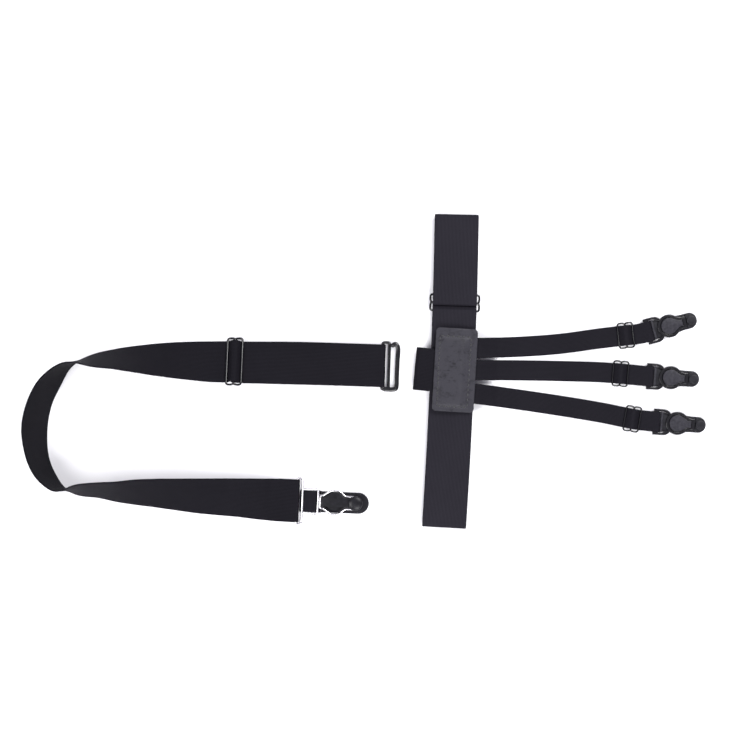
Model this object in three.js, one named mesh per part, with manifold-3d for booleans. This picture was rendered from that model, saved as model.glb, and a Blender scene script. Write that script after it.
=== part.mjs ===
// Shirt stay with a sock strap, lying flat: a thigh band with a leather patch, three shirt straps
// with garter clips, and a sock strap with a swan hook and a sock clip.
// Millimetres, +Z up, floor at Z = 0. +X runs towards the garter clips, +Y towards the thigh slider.
import * as THREE from 'three';
import { mergeVertices } from 'three/addons/utils/BufferGeometryUtils.js';
import Module from 'manifold-3d';

const wasm = await Module();
wasm.setup();

// Webbing and clearances
const GAP = 0.3;                 // clearance between pieces
const SIDE_PLAY = 0.4;           // room beside a strap inside a slider, hook or ring
const WIDE_WEB = 40;             // width of the thigh band's elastic
const SOCK_WEB = 39;             // width of the sock strap's and the hook tab's elastic
const WIDE_THICK = 1.2;
const NARROW_WEB = 18.5;         // width of the shirt straps' elastic
const LINK_WEB = 19.8;           // width of the short link band
const NARROW_THICK = 1.0;
const SEAM_LAP = 0.6;            // stub of a strap end past the bar that it is sewn round

// Thigh band
const BAND_LENGTH = 286;         // laid flat, fold to fold
const BAND_LEAN = 2.35;          // degrees that its slider end leans towards the clips
const BAND_BOW = 1.7;            // sideways bow at half its length
const BAND_OPEN = 6;             // clear height inside the flattened loop
const BAND_SLIDER_DROP = 80.8;   // upper fold to the slider's centre bar
const BAND_TAIL = 24;            // free tail past the slider, between the layers

// Sliders
const BAND_SLIDER_LENGTH = 16.8;
const SOCK_SLIDER_LENGTH = 15.5;
const WIDE_SLIDER_WIRE = 2.0;
const SMALL_SLIDER_LENGTH = 15.2;
const SMALL_SLIDER_WIRE = 1.6;
const NOTCH_DEPTH = 0.9;         // dip of a slider's side between its two windows

// Leather patch
const PATCH_WIDTH = 38;
const PATCH_LENGTH = 76;
const PATCH_THICK = 1.8;
const PATCH_CORNER = 4;
const PATCH_TURN = -1;           // degrees against the band
const PATCH_DROP = 142;          // upper fold to the patch's centre
const PATCH_ASIDE = 2;           // patch's centre past the band's middle, towards the clips

// Hook tab
const TAB_REACH = 36.5;          // patch centre to the tab's fold
const TAB_TUCK = 2;              // end of the tab, short of the patch's centre
const TAB_TURN = -3.3;           // degrees against the band
const TAB_TUNNEL = 3.8;          // bore of the tunnel for the swan hook
const TAB_SHIFT = -2;            // along the band from the patch's centre
const TAB_DROOP = 4;             // sag of the fold below the part on the band

// Shirt straps
const STRAP_ROOT = 1.5;          // strap roots, past the patch's centre
const STRAP_PITCH = 19.6;        // between the roots, along the band
const STRAP_DROP = 22;           // run in which a strap comes down to the floor
const STRAP_BEND = 5;            // bend over the patch's edge
const STRAP_1_REACH = 215.5;     // each strap's root to its clip's button, in plan
const STRAP_2_REACH = 216.7;
const STRAP_3_REACH = 225.8;
const STRAP_1_SLIDER = 18.5;     // each slider's centre bar to the clip frame's end
const STRAP_2_SLIDER = 24;
const STRAP_3_SLIDER = 19.3;

// Garter clips
const CLIP_WIDTH = 23.9;         // frame at the strap bar
const CLIP_METAL = 1.8;          // thickness of the frame
const CLIP_BAR = 4.9;            // strap bar along the clip
const CLIP_SHOULDER = 8.5;       // straight side of the frame
const CLIP_LENGTH = 38.3;        // frame
const CLIP_RING = 22.2;          // frame's end to the centre of its keyhole ring
const CLIP_RING_RADIUS = 10.6;
const CLIP_HOLE_RADIUS = 7.8;
const CLIP_FUNNEL = 57;          // degrees from the clip's axis at which the keyhole runs into its neck
const CLIP_SLOT = 6.8;           // width of the keyhole's neck
const CLIP_NECK_WALL = 1.6;      // frame beside the neck
const CLIP_END_BAR = 3.3;
const CLIP_BUTTON_RADIUS = 4.3;
const CLIP_TIP = 10.1;           // pad's tip past the frame
const CLIP_TIP_RADIUS = 7.2;
const CLIP_PAD_THICK = 1.2;
const CLIP_RIB = 1.9;            // rib at the pad's root, along the clip
const CLIP_PAD_RISE = 1.3;       // disc and neck above the frame's face
const CLIP_BUTTON_RISE = 3;      // button above the frame's back

// Sock strap
const SOCK_REACH = 313;          // swan hook to the far end of the U, in plan
const SOCK_SPREAD = 122.5;       // between the ends of the two legs
const SOCK_SLIDER_SHARE = 0.4297;  // hook bar to the slider along the strap, as a share of that reach
const SOCK_FOLD = 18;            // sewn fold at the silver ring
const SOCK_BEND = 8;             // bends of the strap past the slider and at the sewn fold
const HOOK_AWAY = 29.6;          // tab's fold to the strap bar of the swan hook
const HOOK_ASIDE = 2.3;          // hook's middle past the tab's, towards the thigh slider

// Swan hook
const HOOK_WIRE = 2.8;
const HOOK_ARM = 4.2;            // width of the flattened outer wire
const HOOK_BAR_PITCH = 6.3;      // strap bar to second bar
const HOOK_THROAT = 7.4;         // second bar to the outer bar
const HOOK_LEAN = 0.4;           // top of the outer bar further out than its foot
const HOOK_CURL = 4.8;           // reach of the curled free end
const HOOK_SHORT = 1;            // curl below the loop's upper end

// Silver ring, its band and the sock clip
const RING_WIRE = 2.0;
const RING_FRONT = 5.4;          // strap bar to front bar
const RING_END = 19.6;           // strap bar to end bar
const RING_FLARE = 1.6;          // end bar wider than the narrow window, each side
const KEEPER_WIRE = 1.6;
const KEEPER_ROOT = 5.8;         // half width of the wire at the link band
const KEEPER_BULGE = 10.7;       // and at its widest
const SOCK_PAD_LENGTH = 43.3;
const SOCK_PAD_WIDTH = 19.2;
const SOCK_PAD_THICK = 1.6;
const SOCK_PAD_RAISE = 2.2;      // raised body inside the wire
const SOCK_BUTTON = 31;          // pad's end to the button
const SOCK_BUTTON_RADIUS = 6.7;
const SOCK_STEM_RADIUS = 4;
const SOCK_BUTTON_RISE = 6.6;    // top of the button above the floor

// Course of each shirt strap in plan, in shares of its reach from root to button.
// back is the distance from the slider's centre bar to the clip frame's end.
const SHIRT_STRAPS = [
  {
    reach: STRAP_1_REACH, back: STRAP_1_SLIDER, rows: [
      { along: 0, aside: 0 }, { along: 0.27, aside: 0.0085 }, { along: 0.44, aside: 0.021 },
      { along: 0.61, aside: 0.044 }, { along: 0.735, aside: 0.0585 }, { along: 0.77, aside: 0.0625 },
      { along: 0.86, aside: 0.0858 }, { along: 0.993, aside: 0.117 },
    ],
  },
  {
    reach: STRAP_2_REACH, back: STRAP_2_SLIDER, rows: [
      { along: 0, aside: 0 }, { along: 0.27, aside: -0.001 }, { along: 0.44, aside: -0.004 },
      { along: 0.61, aside: -0.009 }, { along: 0.745, aside: -0.0195 }, { along: 0.785, aside: -0.0238 },
      { along: 0.86, aside: -0.0285 }, { along: 1, aside: -0.038 },
    ],
  },
  {
    reach: STRAP_3_REACH, back: STRAP_3_SLIDER, rows: [
      { along: 0, aside: 0 }, { along: 0.1, aside: -0.011 }, { along: 0.26, aside: -0.033 },
      { along: 0.425, aside: -0.0575 }, { along: 0.59, aside: -0.085 }, { along: 0.72, aside: -0.111 },
      { along: 0.78, aside: -0.119 }, { along: 0.86, aside: -0.125 }, { along: 0.99, aside: -0.1357 },
    ],
  },
];

// Course of the sock strap in plan, from the swan hook round the U to the silver ring.
// out is a share of SOCK_REACH, down a share of SOCK_SPREAD, roll the lean in degrees:
// the edge inside the U lifts, stands upright at the turn and lies down again.
const SOCK_ROWS = [
  { out: 0, down: 0, roll: 0 },
  { out: 0.1, down: -0.008, roll: 1 },
  { out: 0.24, down: -0.017, roll: 6 },
  { out: 0.365, down: -0.021, roll: 14 },
  { out: 0.48, down: -0.027, roll: 16 },
  { out: 0.56, down: -0.035, roll: 27 },
  { out: 0.65, down: -0.042, roll: 41 },
  { out: 0.765, down: -0.046, roll: 60.5 },
  { out: 0.828, down: -0.037, roll: 71 },
  { out: 0.89, down: -0.022, roll: 89 },
  { out: 0.922, down: 0.024, roll: 98 },
  { out: 0.959, down: 0.1395, roll: 109 },
  { out: 0.986, down: 0.28, roll: 111 },
  { out: 1, down: 0.465, roll: 112 },
  { out: 0.99, down: 0.68, roll: 106 },
  { out: 0.966, down: 0.81, roll: 101 },
  { out: 0.926, down: 0.907, roll: 90 },
  { out: 0.88, down: 0.913, roll: 72 },
  { out: 0.822, down: 0.914, roll: 65 },
  { out: 0.765, down: 0.927, roll: 57 },
  { out: 0.705, down: 0.932, roll: 49 },
  { out: 0.647, down: 0.94, roll: 43 },
  { out: 0.53, down: 0.963, roll: 31 },
  { out: 0.413, down: 0.979, roll: 21 },
  { out: 0.35, down: 0.992, roll: 11 },
  { out: 0.305, down: 1, roll: 1 },
  { out: 0.285, down: 1.003, roll: 0 },
  { out: 0.2497, down: 1.0068, roll: 0 },
];

// Colours and finishes
const WEBBING = { color: 0x17161c, roughness: 0.75, metalness: 0 };
const LEATHER = { color: 0x2b2a2f, roughness: 0.6, metalness: 0 };
const BLACK_METAL = { color: 0x121216, roughness: 0.3, metalness: 0.6 };
const PAD_PLASTIC = { color: 0x35353a, roughness: 0.5, metalness: 0 };
const RUBBER = { color: 0x1c1c20, roughness: 0.6, metalness: 0 };
const SILVER = { color: 0xc8c8cc, roughness: 0.2, metalness: 1 };

const ARC_STEP = THREE.MathUtils.degToRad(22);   // longest step round a bend
const WIRE_SIDES = 6;
const BAND_STEP = 24;                            // longest straight steps of the straps
const SHIRT_STEP = 9;
const SOCK_STEP = 8;
const LINK_STEP = 6;
const part = new THREE.Group();

function addMesh(name, geometry, finish, parent = part) {
  const mesh = new THREE.Mesh(geometry, new THREE.MeshStandardMaterial(finish));
  mesh.name = name;
  parent.add(mesh);
  return mesh;
}

// Solids and joins
function toSolid(geometry) {
  const bare = geometry.clone();
  bare.deleteAttribute('normal');
  bare.deleteAttribute('uv');
  const merged = mergeVertices(bare, 1e-4);
  return new wasm.Manifold(new wasm.Mesh({
    numProp: 3,
    vertProperties: new Float32Array(merged.attributes.position.array),
    triVerts: new Uint32Array(merged.index.array),
  }));
}

function toGeometry(solid) {
  const mesh = solid.getMesh();
  const geometry = new THREE.BufferGeometry();
  geometry.setAttribute('position', new THREE.BufferAttribute(mesh.vertProperties, 3));
  geometry.setIndex(new THREE.BufferAttribute(mesh.triVerts, 1));
  return geometry;
}

function join(geometries) {
  return toGeometry(geometries.map(toSolid).reduce((all, solid) => all.add(solid)));
}

// A closed wire loop round a flat outline in the XY plane
function wireLoop(outline, wire, steps) {
  const points = outline.getSpacedPoints(steps).slice(0, -1);
  const curve = new THREE.CatmullRomCurve3(points.map((p) => new THREE.Vector3(p.x, p.y, 0)), true);
  return new THREE.TubeGeometry(curve, steps, wire / 2, WIRE_SIDES, true);
}

// A flat plate in the XY plane, from z = base upwards
function plate(shape, base, thick) {
  const options = { depth: thick, bevelEnabled: false, curveSegments: 8 };
  return new THREE.ExtrudeGeometry(shape, options).translate(0, 0, base);
}

// A turned piece about Z, from a profile of radius and height
function turned(profile, x, segments = 20) {
  const points = profile.map(([radius, height]) => new THREE.Vector2(radius, height));
  return new THREE.LatheGeometry(points, segments).rotateX(Math.PI / 2).translate(x, 0, 0);
}

// The side view of a strap, as a belt round circles: each circle has its place s along the strap,
// height h, radius r of the strap's middle, and turn 1 (anticlockwise) or -1 (clockwise).
function beltPath(circles) {
  const side = (c) => (c.turn ?? 0) * (c.r ?? 0);
  const normal = (heading) => new THREE.Vector2(-Math.sin(heading), Math.cos(heading));
  const headings = [];
  for (let i = 0; i < circles.length - 1; i += 1) {
    const [a, b] = [circles[i], circles[i + 1]];
    const direction = Math.atan2(b.h - a.h, b.s - a.s);
    const apart = Math.hypot(b.s - a.s, b.h - a.h);
    headings.push(direction - Math.asin((side(b) - side(a)) / apart));
  }
  const path = [];
  circles.forEach((circle, i) => {
    const from = headings[Math.max(i - 1, 0)];
    const to = headings[Math.min(i, headings.length - 1)];
    const turn = circle.turn ?? 0;
    const full = Math.PI * 2;
    let sweep = turn * ((((to - from) * turn) % full + full) % full);
    if (Math.abs(sweep) > full * 0.9) sweep = 0;
    const steps = Math.max(Math.ceil(Math.abs(sweep) / ARC_STEP), 1);
    for (let k = 0; k <= (turn === 0 || sweep === 0 ? 0 : steps); k += 1) {
      const offset = normal(from + (sweep * k) / steps).multiplyScalar(-side(circle));
      path.push(new THREE.Vector2(circle.s + offset.x, circle.h + offset.y));
    }
  });
  return path;
}

// Extra points on the straight runs of a path, so that the strap can follow its course
function refine(path, step) {
  const fine = [path[0]];
  for (let i = 1; i < path.length; i += 1) {
    const count = Math.ceil(path[i].distanceTo(path[i - 1]) / step);
    for (let k = 1; k <= count; k += 1) fine.push(path[i - 1].clone().lerp(path[i], k / count));
  }
  return fine;
}

// The course of a strap in plan: a smooth line through rows of x, y and roll.
// The lower edge of a rolled strap of the given web stays on the floor.
function courseThrough(rows, web = 0, thick = 0) {
  const line = new THREE.CatmullRomCurve3(rows.map((row) => new THREE.Vector3(row.x, row.y, 0)));
  const rolls = new THREE.CatmullRomCurve3(rows.map((row) => new THREE.Vector3(row.roll ?? 0, 0, 0)));
  rolls.curveType = 'catmullrom';
  const samples = 40 * rows.length;
  const spots = [];
  for (let i = 0; i <= samples; i += 1) {
    const spot = line.getPoint(i / samples);
    const roll = THREE.MathUtils.degToRad(Math.max(rolls.getPoint(i / samples).x, 0));
    spot.z = (web / 2) * Math.sin(roll) + Math.max(-Math.cos(roll), 0) * thick;
    const before = spots[i - 1];
    spots.push({ spot, roll, run: before ? before.run + spot.distanceTo(before.spot) : 0 });
  }
  const length = spots[samples].run;

  function at(s) {
    let i = 1;
    while (i < samples && spots[i].run < s) i += 1;
    const [a, b] = [spots[i - 1], spots[i]];
    const share = (s - a.run) / (b.run - a.run);
    const near = spots[Math.max(i - 3, 0)].spot;
    const far = spots[Math.min(i + 2, samples)].spot;
    const along = far.clone().sub(near).normalize();
    const roll = THREE.MathUtils.lerp(a.roll, b.roll, THREE.MathUtils.clamp(share, 0, 1));
    const left = new THREE.Vector3(-along.y, along.x, 0).normalize();
    const across = left.multiplyScalar(Math.cos(roll)).add(new THREE.Vector3(0, 0, Math.sin(roll)));
    across.addScaledVector(along, -across.dot(along)).normalize();
    const up = along.clone().cross(across);
    return { point: a.spot.clone().lerp(b.spot, share), along, across, up };
  }
  return { length, at };
}

// A strap of the given web and thickness along a course, following a side path
function strapGeometry(course, path, web, thick) {
  const last = path.length - 1;
  const positions = [];
  path.forEach((point, i) => {
    const first = Math.max(i - 1, 0);
    const into = path[first + 1].clone().sub(path[first]).normalize();
    const next = Math.min(i, last - 1);
    const out = path[next + 1].clone().sub(path[next]).normalize();
    const middle = into.clone().add(out).normalize();
    const mitre = thick / 2 / Math.max(middle.dot(into), 0.5);
    const normal = new THREE.Vector2(-middle.y, middle.x).multiplyScalar(mitre);
    [[1, -1], [1, 1], [-1, 1], [-1, -1]].forEach(([face, edge]) => {
      const spot = point.clone().addScaledVector(normal, face);
      const place = course.at(spot.x);
      const corner = place.point.addScaledVector(place.up, spot.y);
      corner.addScaledVector(place.across, (edge * web) / 2);
      positions.push(corner.x, corner.y, corner.z);
    });
  });
  const faces = [0, 1, 2, 0, 2, 3];
  for (let i = 0; i < last; i += 1) {
    for (let k = 0; k < 4; k += 1) {
      const [a, b] = [4 * i + k, 4 * i + ((k + 1) % 4)];
      // both faces of a twisting strap are split the same way, so that its wall keeps its thickness
      if (k === 2) faces.push(a, a + 4, b, b, a + 4, b + 4);
      else faces.push(a, b + 4, b, a, a + 4, b + 4);
    }
  }
  const end = 4 * last;
  faces.push(end, end + 2, end + 1, end, end + 3, end + 2);
  const geometry = new THREE.BufferGeometry();
  geometry.setAttribute('position', new THREE.Float32BufferAttribute(positions, 3));
  geometry.setIndex(faces);
  return geometry;
}

// A hard piece put on a course: its X along it, or against it, and Z out of the strap's face
function placeOn(mesh, course, s, height, against = false) {
  const { point, along, across, up } = course.at(s);
  const flip = against ? -1 : 1;
  const basis = new THREE.Matrix4().makeBasis(
    along.multiplyScalar(flip), across.multiplyScalar(flip), up);
  mesh.position.copy(point).addScaledVector(up, height);
  mesh.quaternion.setFromRotationMatrix(basis);
}

// Radii of a strap's middle round a bar, and over the strap end sewn round it
const roundBar = (wire, thick) => wire / 2 + GAP + thick / 2;
const roundSewn = (wire, thick) => roundBar(wire, thick) + thick + GAP;

// Three-bar slider: a wire outline notched at both ends, and a bar across its middle
function sliderGeometry(length, wire, web) {
  const pitch = (length - wire) / 2;
  const side = web / 2 + SIDE_PLAY + wire / 2 + NOTCH_DEPTH;
  const corner = pitch * 0.4;
  const outline = new THREE.Path();
  outline.moveTo(pitch, 0);
  [[1, 1], [-1, -1]].forEach(([x, y]) => {
    outline.lineTo(x * pitch, y * (side - corner));
    outline.quadraticCurveTo(x * pitch, y * side, x * (pitch - corner), y * side);
    outline.quadraticCurveTo(x * corner * 0.6, y * side, 0, y * (side - NOTCH_DEPTH));
    outline.quadraticCurveTo(-x * corner * 0.6, y * side, -x * (pitch - corner), y * side);
    outline.quadraticCurveTo(-x * pitch, y * side, -x * pitch, y * (side - corner));
    outline.lineTo(-x * pitch, 0);
  });
  const steps = 2 * Math.round((web + length) / 2);
  const bar = new THREE.CylinderGeometry(wire / 2, wire / 2, 2 * (side - NOTCH_DEPTH), WIRE_SIDES);
  return join([wireLoop(outline, wire, steps), bar]);
}

// Thigh band: one strap sewn round the slider, round the upper fold, along the floor,
// round the lower fold, and back through the slider to its free tail
const bandPitch = (BAND_SLIDER_LENGTH - WIDE_SLIDER_WIRE) / 2;
const bandRound = roundBar(WIDE_SLIDER_WIRE, WIDE_THICK);
const bandOver = roundSewn(WIDE_SLIDER_WIRE, WIDE_THICK);
const bandSliderAt = BAND_LENGTH - BAND_SLIDER_DROP;
const bandSliderHeight = WIDE_THICK + GAP + WIDE_THICK / 2 + bandOver;
const bandFold = (BAND_OPEN + WIDE_THICK) / 2;
const bandFoldHeight = WIDE_THICK / 2 + bandFold;
const bandPath = beltPath([
  { s: bandSliderAt + SEAM_LAP, h: bandSliderHeight - bandRound },
  { s: bandSliderAt, h: bandSliderHeight, r: bandRound, turn: -1 },
  { s: bandSliderAt + bandPitch, h: bandSliderHeight, r: bandOver, turn: -1 },
  { s: BAND_LENGTH - bandFoldHeight, h: bandFoldHeight, r: bandFold, turn: -1 },
  { s: bandFoldHeight, h: bandFoldHeight, r: bandFold, turn: -1 },
  { s: bandSliderAt - bandPitch, h: bandSliderHeight, r: bandRound, turn: -1 },
  { s: bandSliderAt, h: bandSliderHeight, r: bandOver, turn: 1 },
  { s: bandSliderAt + bandPitch, h: bandSliderHeight, r: bandRound, turn: -1 },
  { s: bandSliderAt + bandPitch + BAND_TAIL, h: bandFoldHeight },
]);
const lean = THREE.MathUtils.degToRad(BAND_LEAN);
const bandCourse = courseThrough([0, 0.25, 0.5, 0.75, 1].map((share) => {
  const up = share - 0.5;
  const bow = BAND_BOW * (1 - 4 * up * up);
  return {
    x: BAND_LENGTH * up * Math.sin(lean) + bow * Math.cos(lean),
    y: BAND_LENGTH * up * Math.cos(lean) - bow * Math.sin(lean),
  };
}));
addMesh('thigh_band', strapGeometry(bandCourse, refine(bandPath, BAND_STEP), WIDE_WEB, WIDE_THICK), WEBBING);
const bandSlider = sliderGeometry(BAND_SLIDER_LENGTH, WIDE_SLIDER_WIRE, WIDE_WEB);
placeOn(addMesh('thigh_slider', bandSlider, BLACK_METAL), bandCourse, bandSliderAt, bandSliderHeight);

// Everything sewn on the band stands in the patch's own frame: X to the clips, Y along the band
const bandTop = WIDE_THICK + Math.max(BAND_OPEN + WIDE_THICK, bandSliderHeight + bandRound - WIDE_THICK / 2);
const sewn = new THREE.Group();
const patchSpot = bandCourse.at(BAND_LENGTH - PATCH_DROP);
sewn.position.copy(patchSpot.point).addScaledVector(patchSpot.across, -PATCH_ASIDE);
sewn.rotation.z = -lean;
part.add(sewn);

// Hook tab: elastic folded double, sewn flat up to a tunnel in its fold
const tabThick = 2 * WIDE_THICK;
const tabBase = bandTop + GAP;
const tunnelOuter = TAB_TUNNEL / 2 + WIDE_THICK;
const tabShape = new THREE.Shape();
tabShape.moveTo(-TAB_TUCK, 0);
tabShape.lineTo(-TAB_TUCK, tabThick);
[0.9, 0.75, 0.6].forEach((share) => tabShape.lineTo(-TAB_REACH * (1.15 - share), tabThick));
tabShape.lineTo(-TAB_REACH + 3.4 * tunnelOuter, tabThick);
tabShape.absarc(-TAB_REACH + tunnelOuter, tabThick / 2, tunnelOuter, 0.3 * Math.PI, 1.7 * Math.PI, false);
tabShape.lineTo(-TAB_REACH + 3.4 * tunnelOuter, 0);
[0.6, 0.75, 0.9].forEach((share) => tabShape.lineTo(-TAB_REACH * (1.15 - share), 0));
const tunnel = new THREE.Path();
tunnel.absarc(-TAB_REACH + tunnelOuter, tabThick / 2, TAB_TUNNEL / 2, 0, 2 * Math.PI, true);
tabShape.holes.push(tunnel);
const tabOptions = { depth: SOCK_WEB, bevelEnabled: false, curveSegments: 8 };
const tabGeometry = new THREE.ExtrudeGeometry(tabShape, tabOptions);
tabGeometry.rotateX(Math.PI / 2).translate(0, SOCK_WEB / 2, 0);
const tabPlaces = tabGeometry.attributes.position;
for (let i = 0; i < tabPlaces.count; i += 1) {
  const over = Math.max((-tabPlaces.getX(i) - WIDE_WEB / 2) / (TAB_REACH - WIDE_WEB / 2), 0);
  tabPlaces.setZ(i, tabPlaces.getZ(i) - TAB_DROOP * over * over);
}
const tab = addMesh('hook_tab', tabGeometry, WEBBING, sewn);
tab.position.set(0, TAB_SHIFT, tabBase);
tab.rotation.z = THREE.MathUtils.degToRad(TAB_TURN);

// Leather patch: a sheet over the tab on one side and the strap roots on the other
const strapBase = bandTop + GAP;
const patchHigh = tabBase + tabThick + GAP;
const patchLow = strapBase + NARROW_THICK + GAP;
function patchGeometry() {
  const rows = [];
  const count = 24;
  for (let i = 0; i <= count; i += 1) {
    const x = (PATCH_WIDTH / 2) * -Math.cos((Math.PI * i) / count);
    const inset = Math.max(Math.abs(x) - (PATCH_WIDTH / 2 - PATCH_CORNER), 0);
    const half = PATCH_LENGTH / 2 - PATCH_CORNER
      + Math.sqrt(Math.max(PATCH_CORNER ** 2 - inset ** 2, 0));
    const fall = THREE.MathUtils.smoothstep(x, STRAP_ROOT - TAB_TUCK, PATCH_WIDTH * 0.3);
    rows.push({ x, half, base: THREE.MathUtils.lerp(patchHigh, patchLow, fall) });
  }
  const positions = [];
  rows.forEach(({ x, half, base }) => {
    positions.push(x, -half, base, x, -half, base + PATCH_THICK);
    positions.push(x, half, base + PATCH_THICK, x, half, base);
  });
  const faces = [0, 1, 2, 0, 2, 3];
  for (let i = 0; i < count; i += 1) {
    for (let k = 0; k < 4; k += 1) {
      const [a, b] = [4 * i + k, 4 * i + ((k + 1) % 4)];
      faces.push(a, b + 4, b, a, a + 4, b + 4);
    }
  }
  const end = 4 * count;
  faces.push(end, end + 2, end + 1, end, end + 3, end + 2);
  const geometry = new THREE.BufferGeometry();
  geometry.setAttribute('position', new THREE.Float32BufferAttribute(positions, 3));
  geometry.setIndex(faces);
  return geometry;
}
const patch = addMesh('leather_patch', patchGeometry(), LEATHER, sewn);
patch.rotation.z = THREE.MathUtils.degToRad(PATCH_TURN);

// Keyhole of the clip frame, drawn in by inset: a round that runs straight into a parallel neck
function clipKeyhole(inset) {
  const mouth = THREE.MathUtils.degToRad(CLIP_FUNNEL);
  const radius = CLIP_HOLE_RADIUS - inset;
  const half = CLIP_SLOT / 2 - inset;
  const run = (radius * Math.sin(mouth) - half) / Math.cos(mouth);
  const neckAt = CLIP_RING + radius * Math.cos(mouth) + run * Math.sin(mouth);
  const outline = new THREE.Path();
  outline.absarc(CLIP_RING, 0, radius, mouth, 2 * Math.PI - mouth, false);
  outline.lineTo(neckAt, -half);
  outline.lineTo(CLIP_LENGTH - CLIP_END_BAR - inset, -half);
  outline.lineTo(CLIP_LENGTH - CLIP_END_BAR - inset, half);
  outline.lineTo(neckAt, half);
  return outline;
}

// Garter clip frame: a flat black plate with a strap window and a keyhole
function clipFrameGeometry() {
  const half = CLIP_WIDTH / 2;
  const inner = NARROW_WEB / 2 + SIDE_PLAY;
  const neck = CLIP_SLOT / 2 + CLIP_NECK_WALL;
  const radians = THREE.MathUtils.degToRad;
  const onRing = (degrees, radius) => [
    CLIP_RING + radius * Math.cos(radians(degrees)), radius * Math.sin(radians(degrees)),
  ];
  const shape = new THREE.Shape();
  shape.moveTo(0, -half);
  shape.lineTo(CLIP_SHOULDER, -half);
  shape.quadraticCurveTo(CLIP_SHOULDER + 5, -half, ...onRing(-128, CLIP_RING_RADIUS));
  shape.absarc(CLIP_RING, 0, CLIP_RING_RADIUS, radians(-128), radians(-42), false);
  shape.quadraticCurveTo(CLIP_RING + CLIP_RING_RADIUS, -neck, CLIP_RING + CLIP_RING_RADIUS * 1.25, -neck);
  shape.lineTo(CLIP_LENGTH, -neck);
  shape.lineTo(CLIP_LENGTH, neck);
  shape.lineTo(CLIP_RING + CLIP_RING_RADIUS * 1.25, neck);
  shape.quadraticCurveTo(CLIP_RING + CLIP_RING_RADIUS, neck, ...onRing(42, CLIP_RING_RADIUS));
  shape.absarc(CLIP_RING, 0, CLIP_RING_RADIUS, radians(42), radians(128), false);
  shape.quadraticCurveTo(CLIP_SHOULDER + 5, half, CLIP_SHOULDER, half);
  shape.lineTo(0, half);
  const window = new THREE.Path();
  window.moveTo(CLIP_BAR, -inner);
  window.lineTo(CLIP_SHOULDER, -inner);
  window.lineTo(...onRing(-138, CLIP_RING_RADIUS));
  window.absarc(CLIP_RING, 0, CLIP_RING_RADIUS, radians(-138), radians(-222), true);
  window.lineTo(CLIP_SHOULDER, inner);
  window.lineTo(CLIP_BAR, inner);
  shape.holes.push(window, clipKeyhole(0));
  return plate(shape, -CLIP_METAL / 2, CLIP_METAL);
}

// Garter clip pad: a tongue behind the frame, with a disc and neck in the keyhole and a button
// beyond the frame. Heights are above the tongue's back.
const clipWrap = roundBar(CLIP_METAL, NARROW_THICK);
const clipEdge = CLIP_BAR - CLIP_METAL / 2 + GAP;
const clipButton = CLIP_LENGTH + GAP + CLIP_BUTTON_RADIUS;
const clipTipAt = CLIP_LENGTH + CLIP_TIP - CLIP_TIP_RADIUS;
const clipHeight = Math.max(NARROW_THICK / 2 + clipWrap, CLIP_PAD_THICK + GAP + CLIP_METAL / 2);
function clipPadGeometry() {
  const start = clipEdge + clipWrap + NARROW_THICK / 2 + GAP;
  const back = clipHeight - CLIP_METAL / 2 - GAP;
  const face = clipHeight + CLIP_METAL / 2 + CLIP_PAD_RISE;
  const rootHalf = NARROW_WEB / 2 - 0.5;
  const tongue = new THREE.Shape();
  tongue.moveTo(start, -rootHalf);
  tongue.lineTo(CLIP_RING - CLIP_RING_RADIUS * 0.5, -rootHalf * 0.94);
  tongue.lineTo(CLIP_LENGTH - CLIP_END_BAR, -CLIP_TIP_RADIUS);
  tongue.absarc(clipTipAt, 0, CLIP_TIP_RADIUS, -Math.PI / 2, Math.PI / 2, false);
  tongue.lineTo(CLIP_LENGTH - CLIP_END_BAR, CLIP_TIP_RADIUS);
  tongue.lineTo(CLIP_RING - CLIP_RING_RADIUS * 0.5, rootHalf * 0.94);
  tongue.lineTo(start, rootHalf);
  const tip = new THREE.Shape();
  tip.moveTo(CLIP_LENGTH + GAP, -CLIP_TIP_RADIUS);
  tip.absarc(clipTipAt, 0, CLIP_TIP_RADIUS, -Math.PI / 2, Math.PI / 2, false);
  tip.lineTo(CLIP_LENGTH + GAP, CLIP_TIP_RADIUS);
  const rib = new THREE.Shape();
  rib.moveTo(start, -rootHalf);
  rib.lineTo(start + CLIP_RIB, -rootHalf);
  rib.lineTo(start + CLIP_RIB, rootHalf);
  rib.lineTo(start, rootHalf);
  const disc = new THREE.Shape(clipKeyhole(GAP).getPoints(10));
  const top = back + CLIP_BUTTON_RISE;
  const button = CLIP_BUTTON_RADIUS;
  return join([
    plate(tongue, 0, back),
    plate(tip, back / 2, CLIP_METAL + back / 2),
    plate(rib, back / 2, clipHeight + CLIP_METAL / 2 - back / 2),
    plate(disc, back / 2, face - back / 2),
    turned([[0, back], [button, back], [button, top - 0.8], [button * 0.75, top], [0, top]],
      clipButton),
  ]);
}

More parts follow.
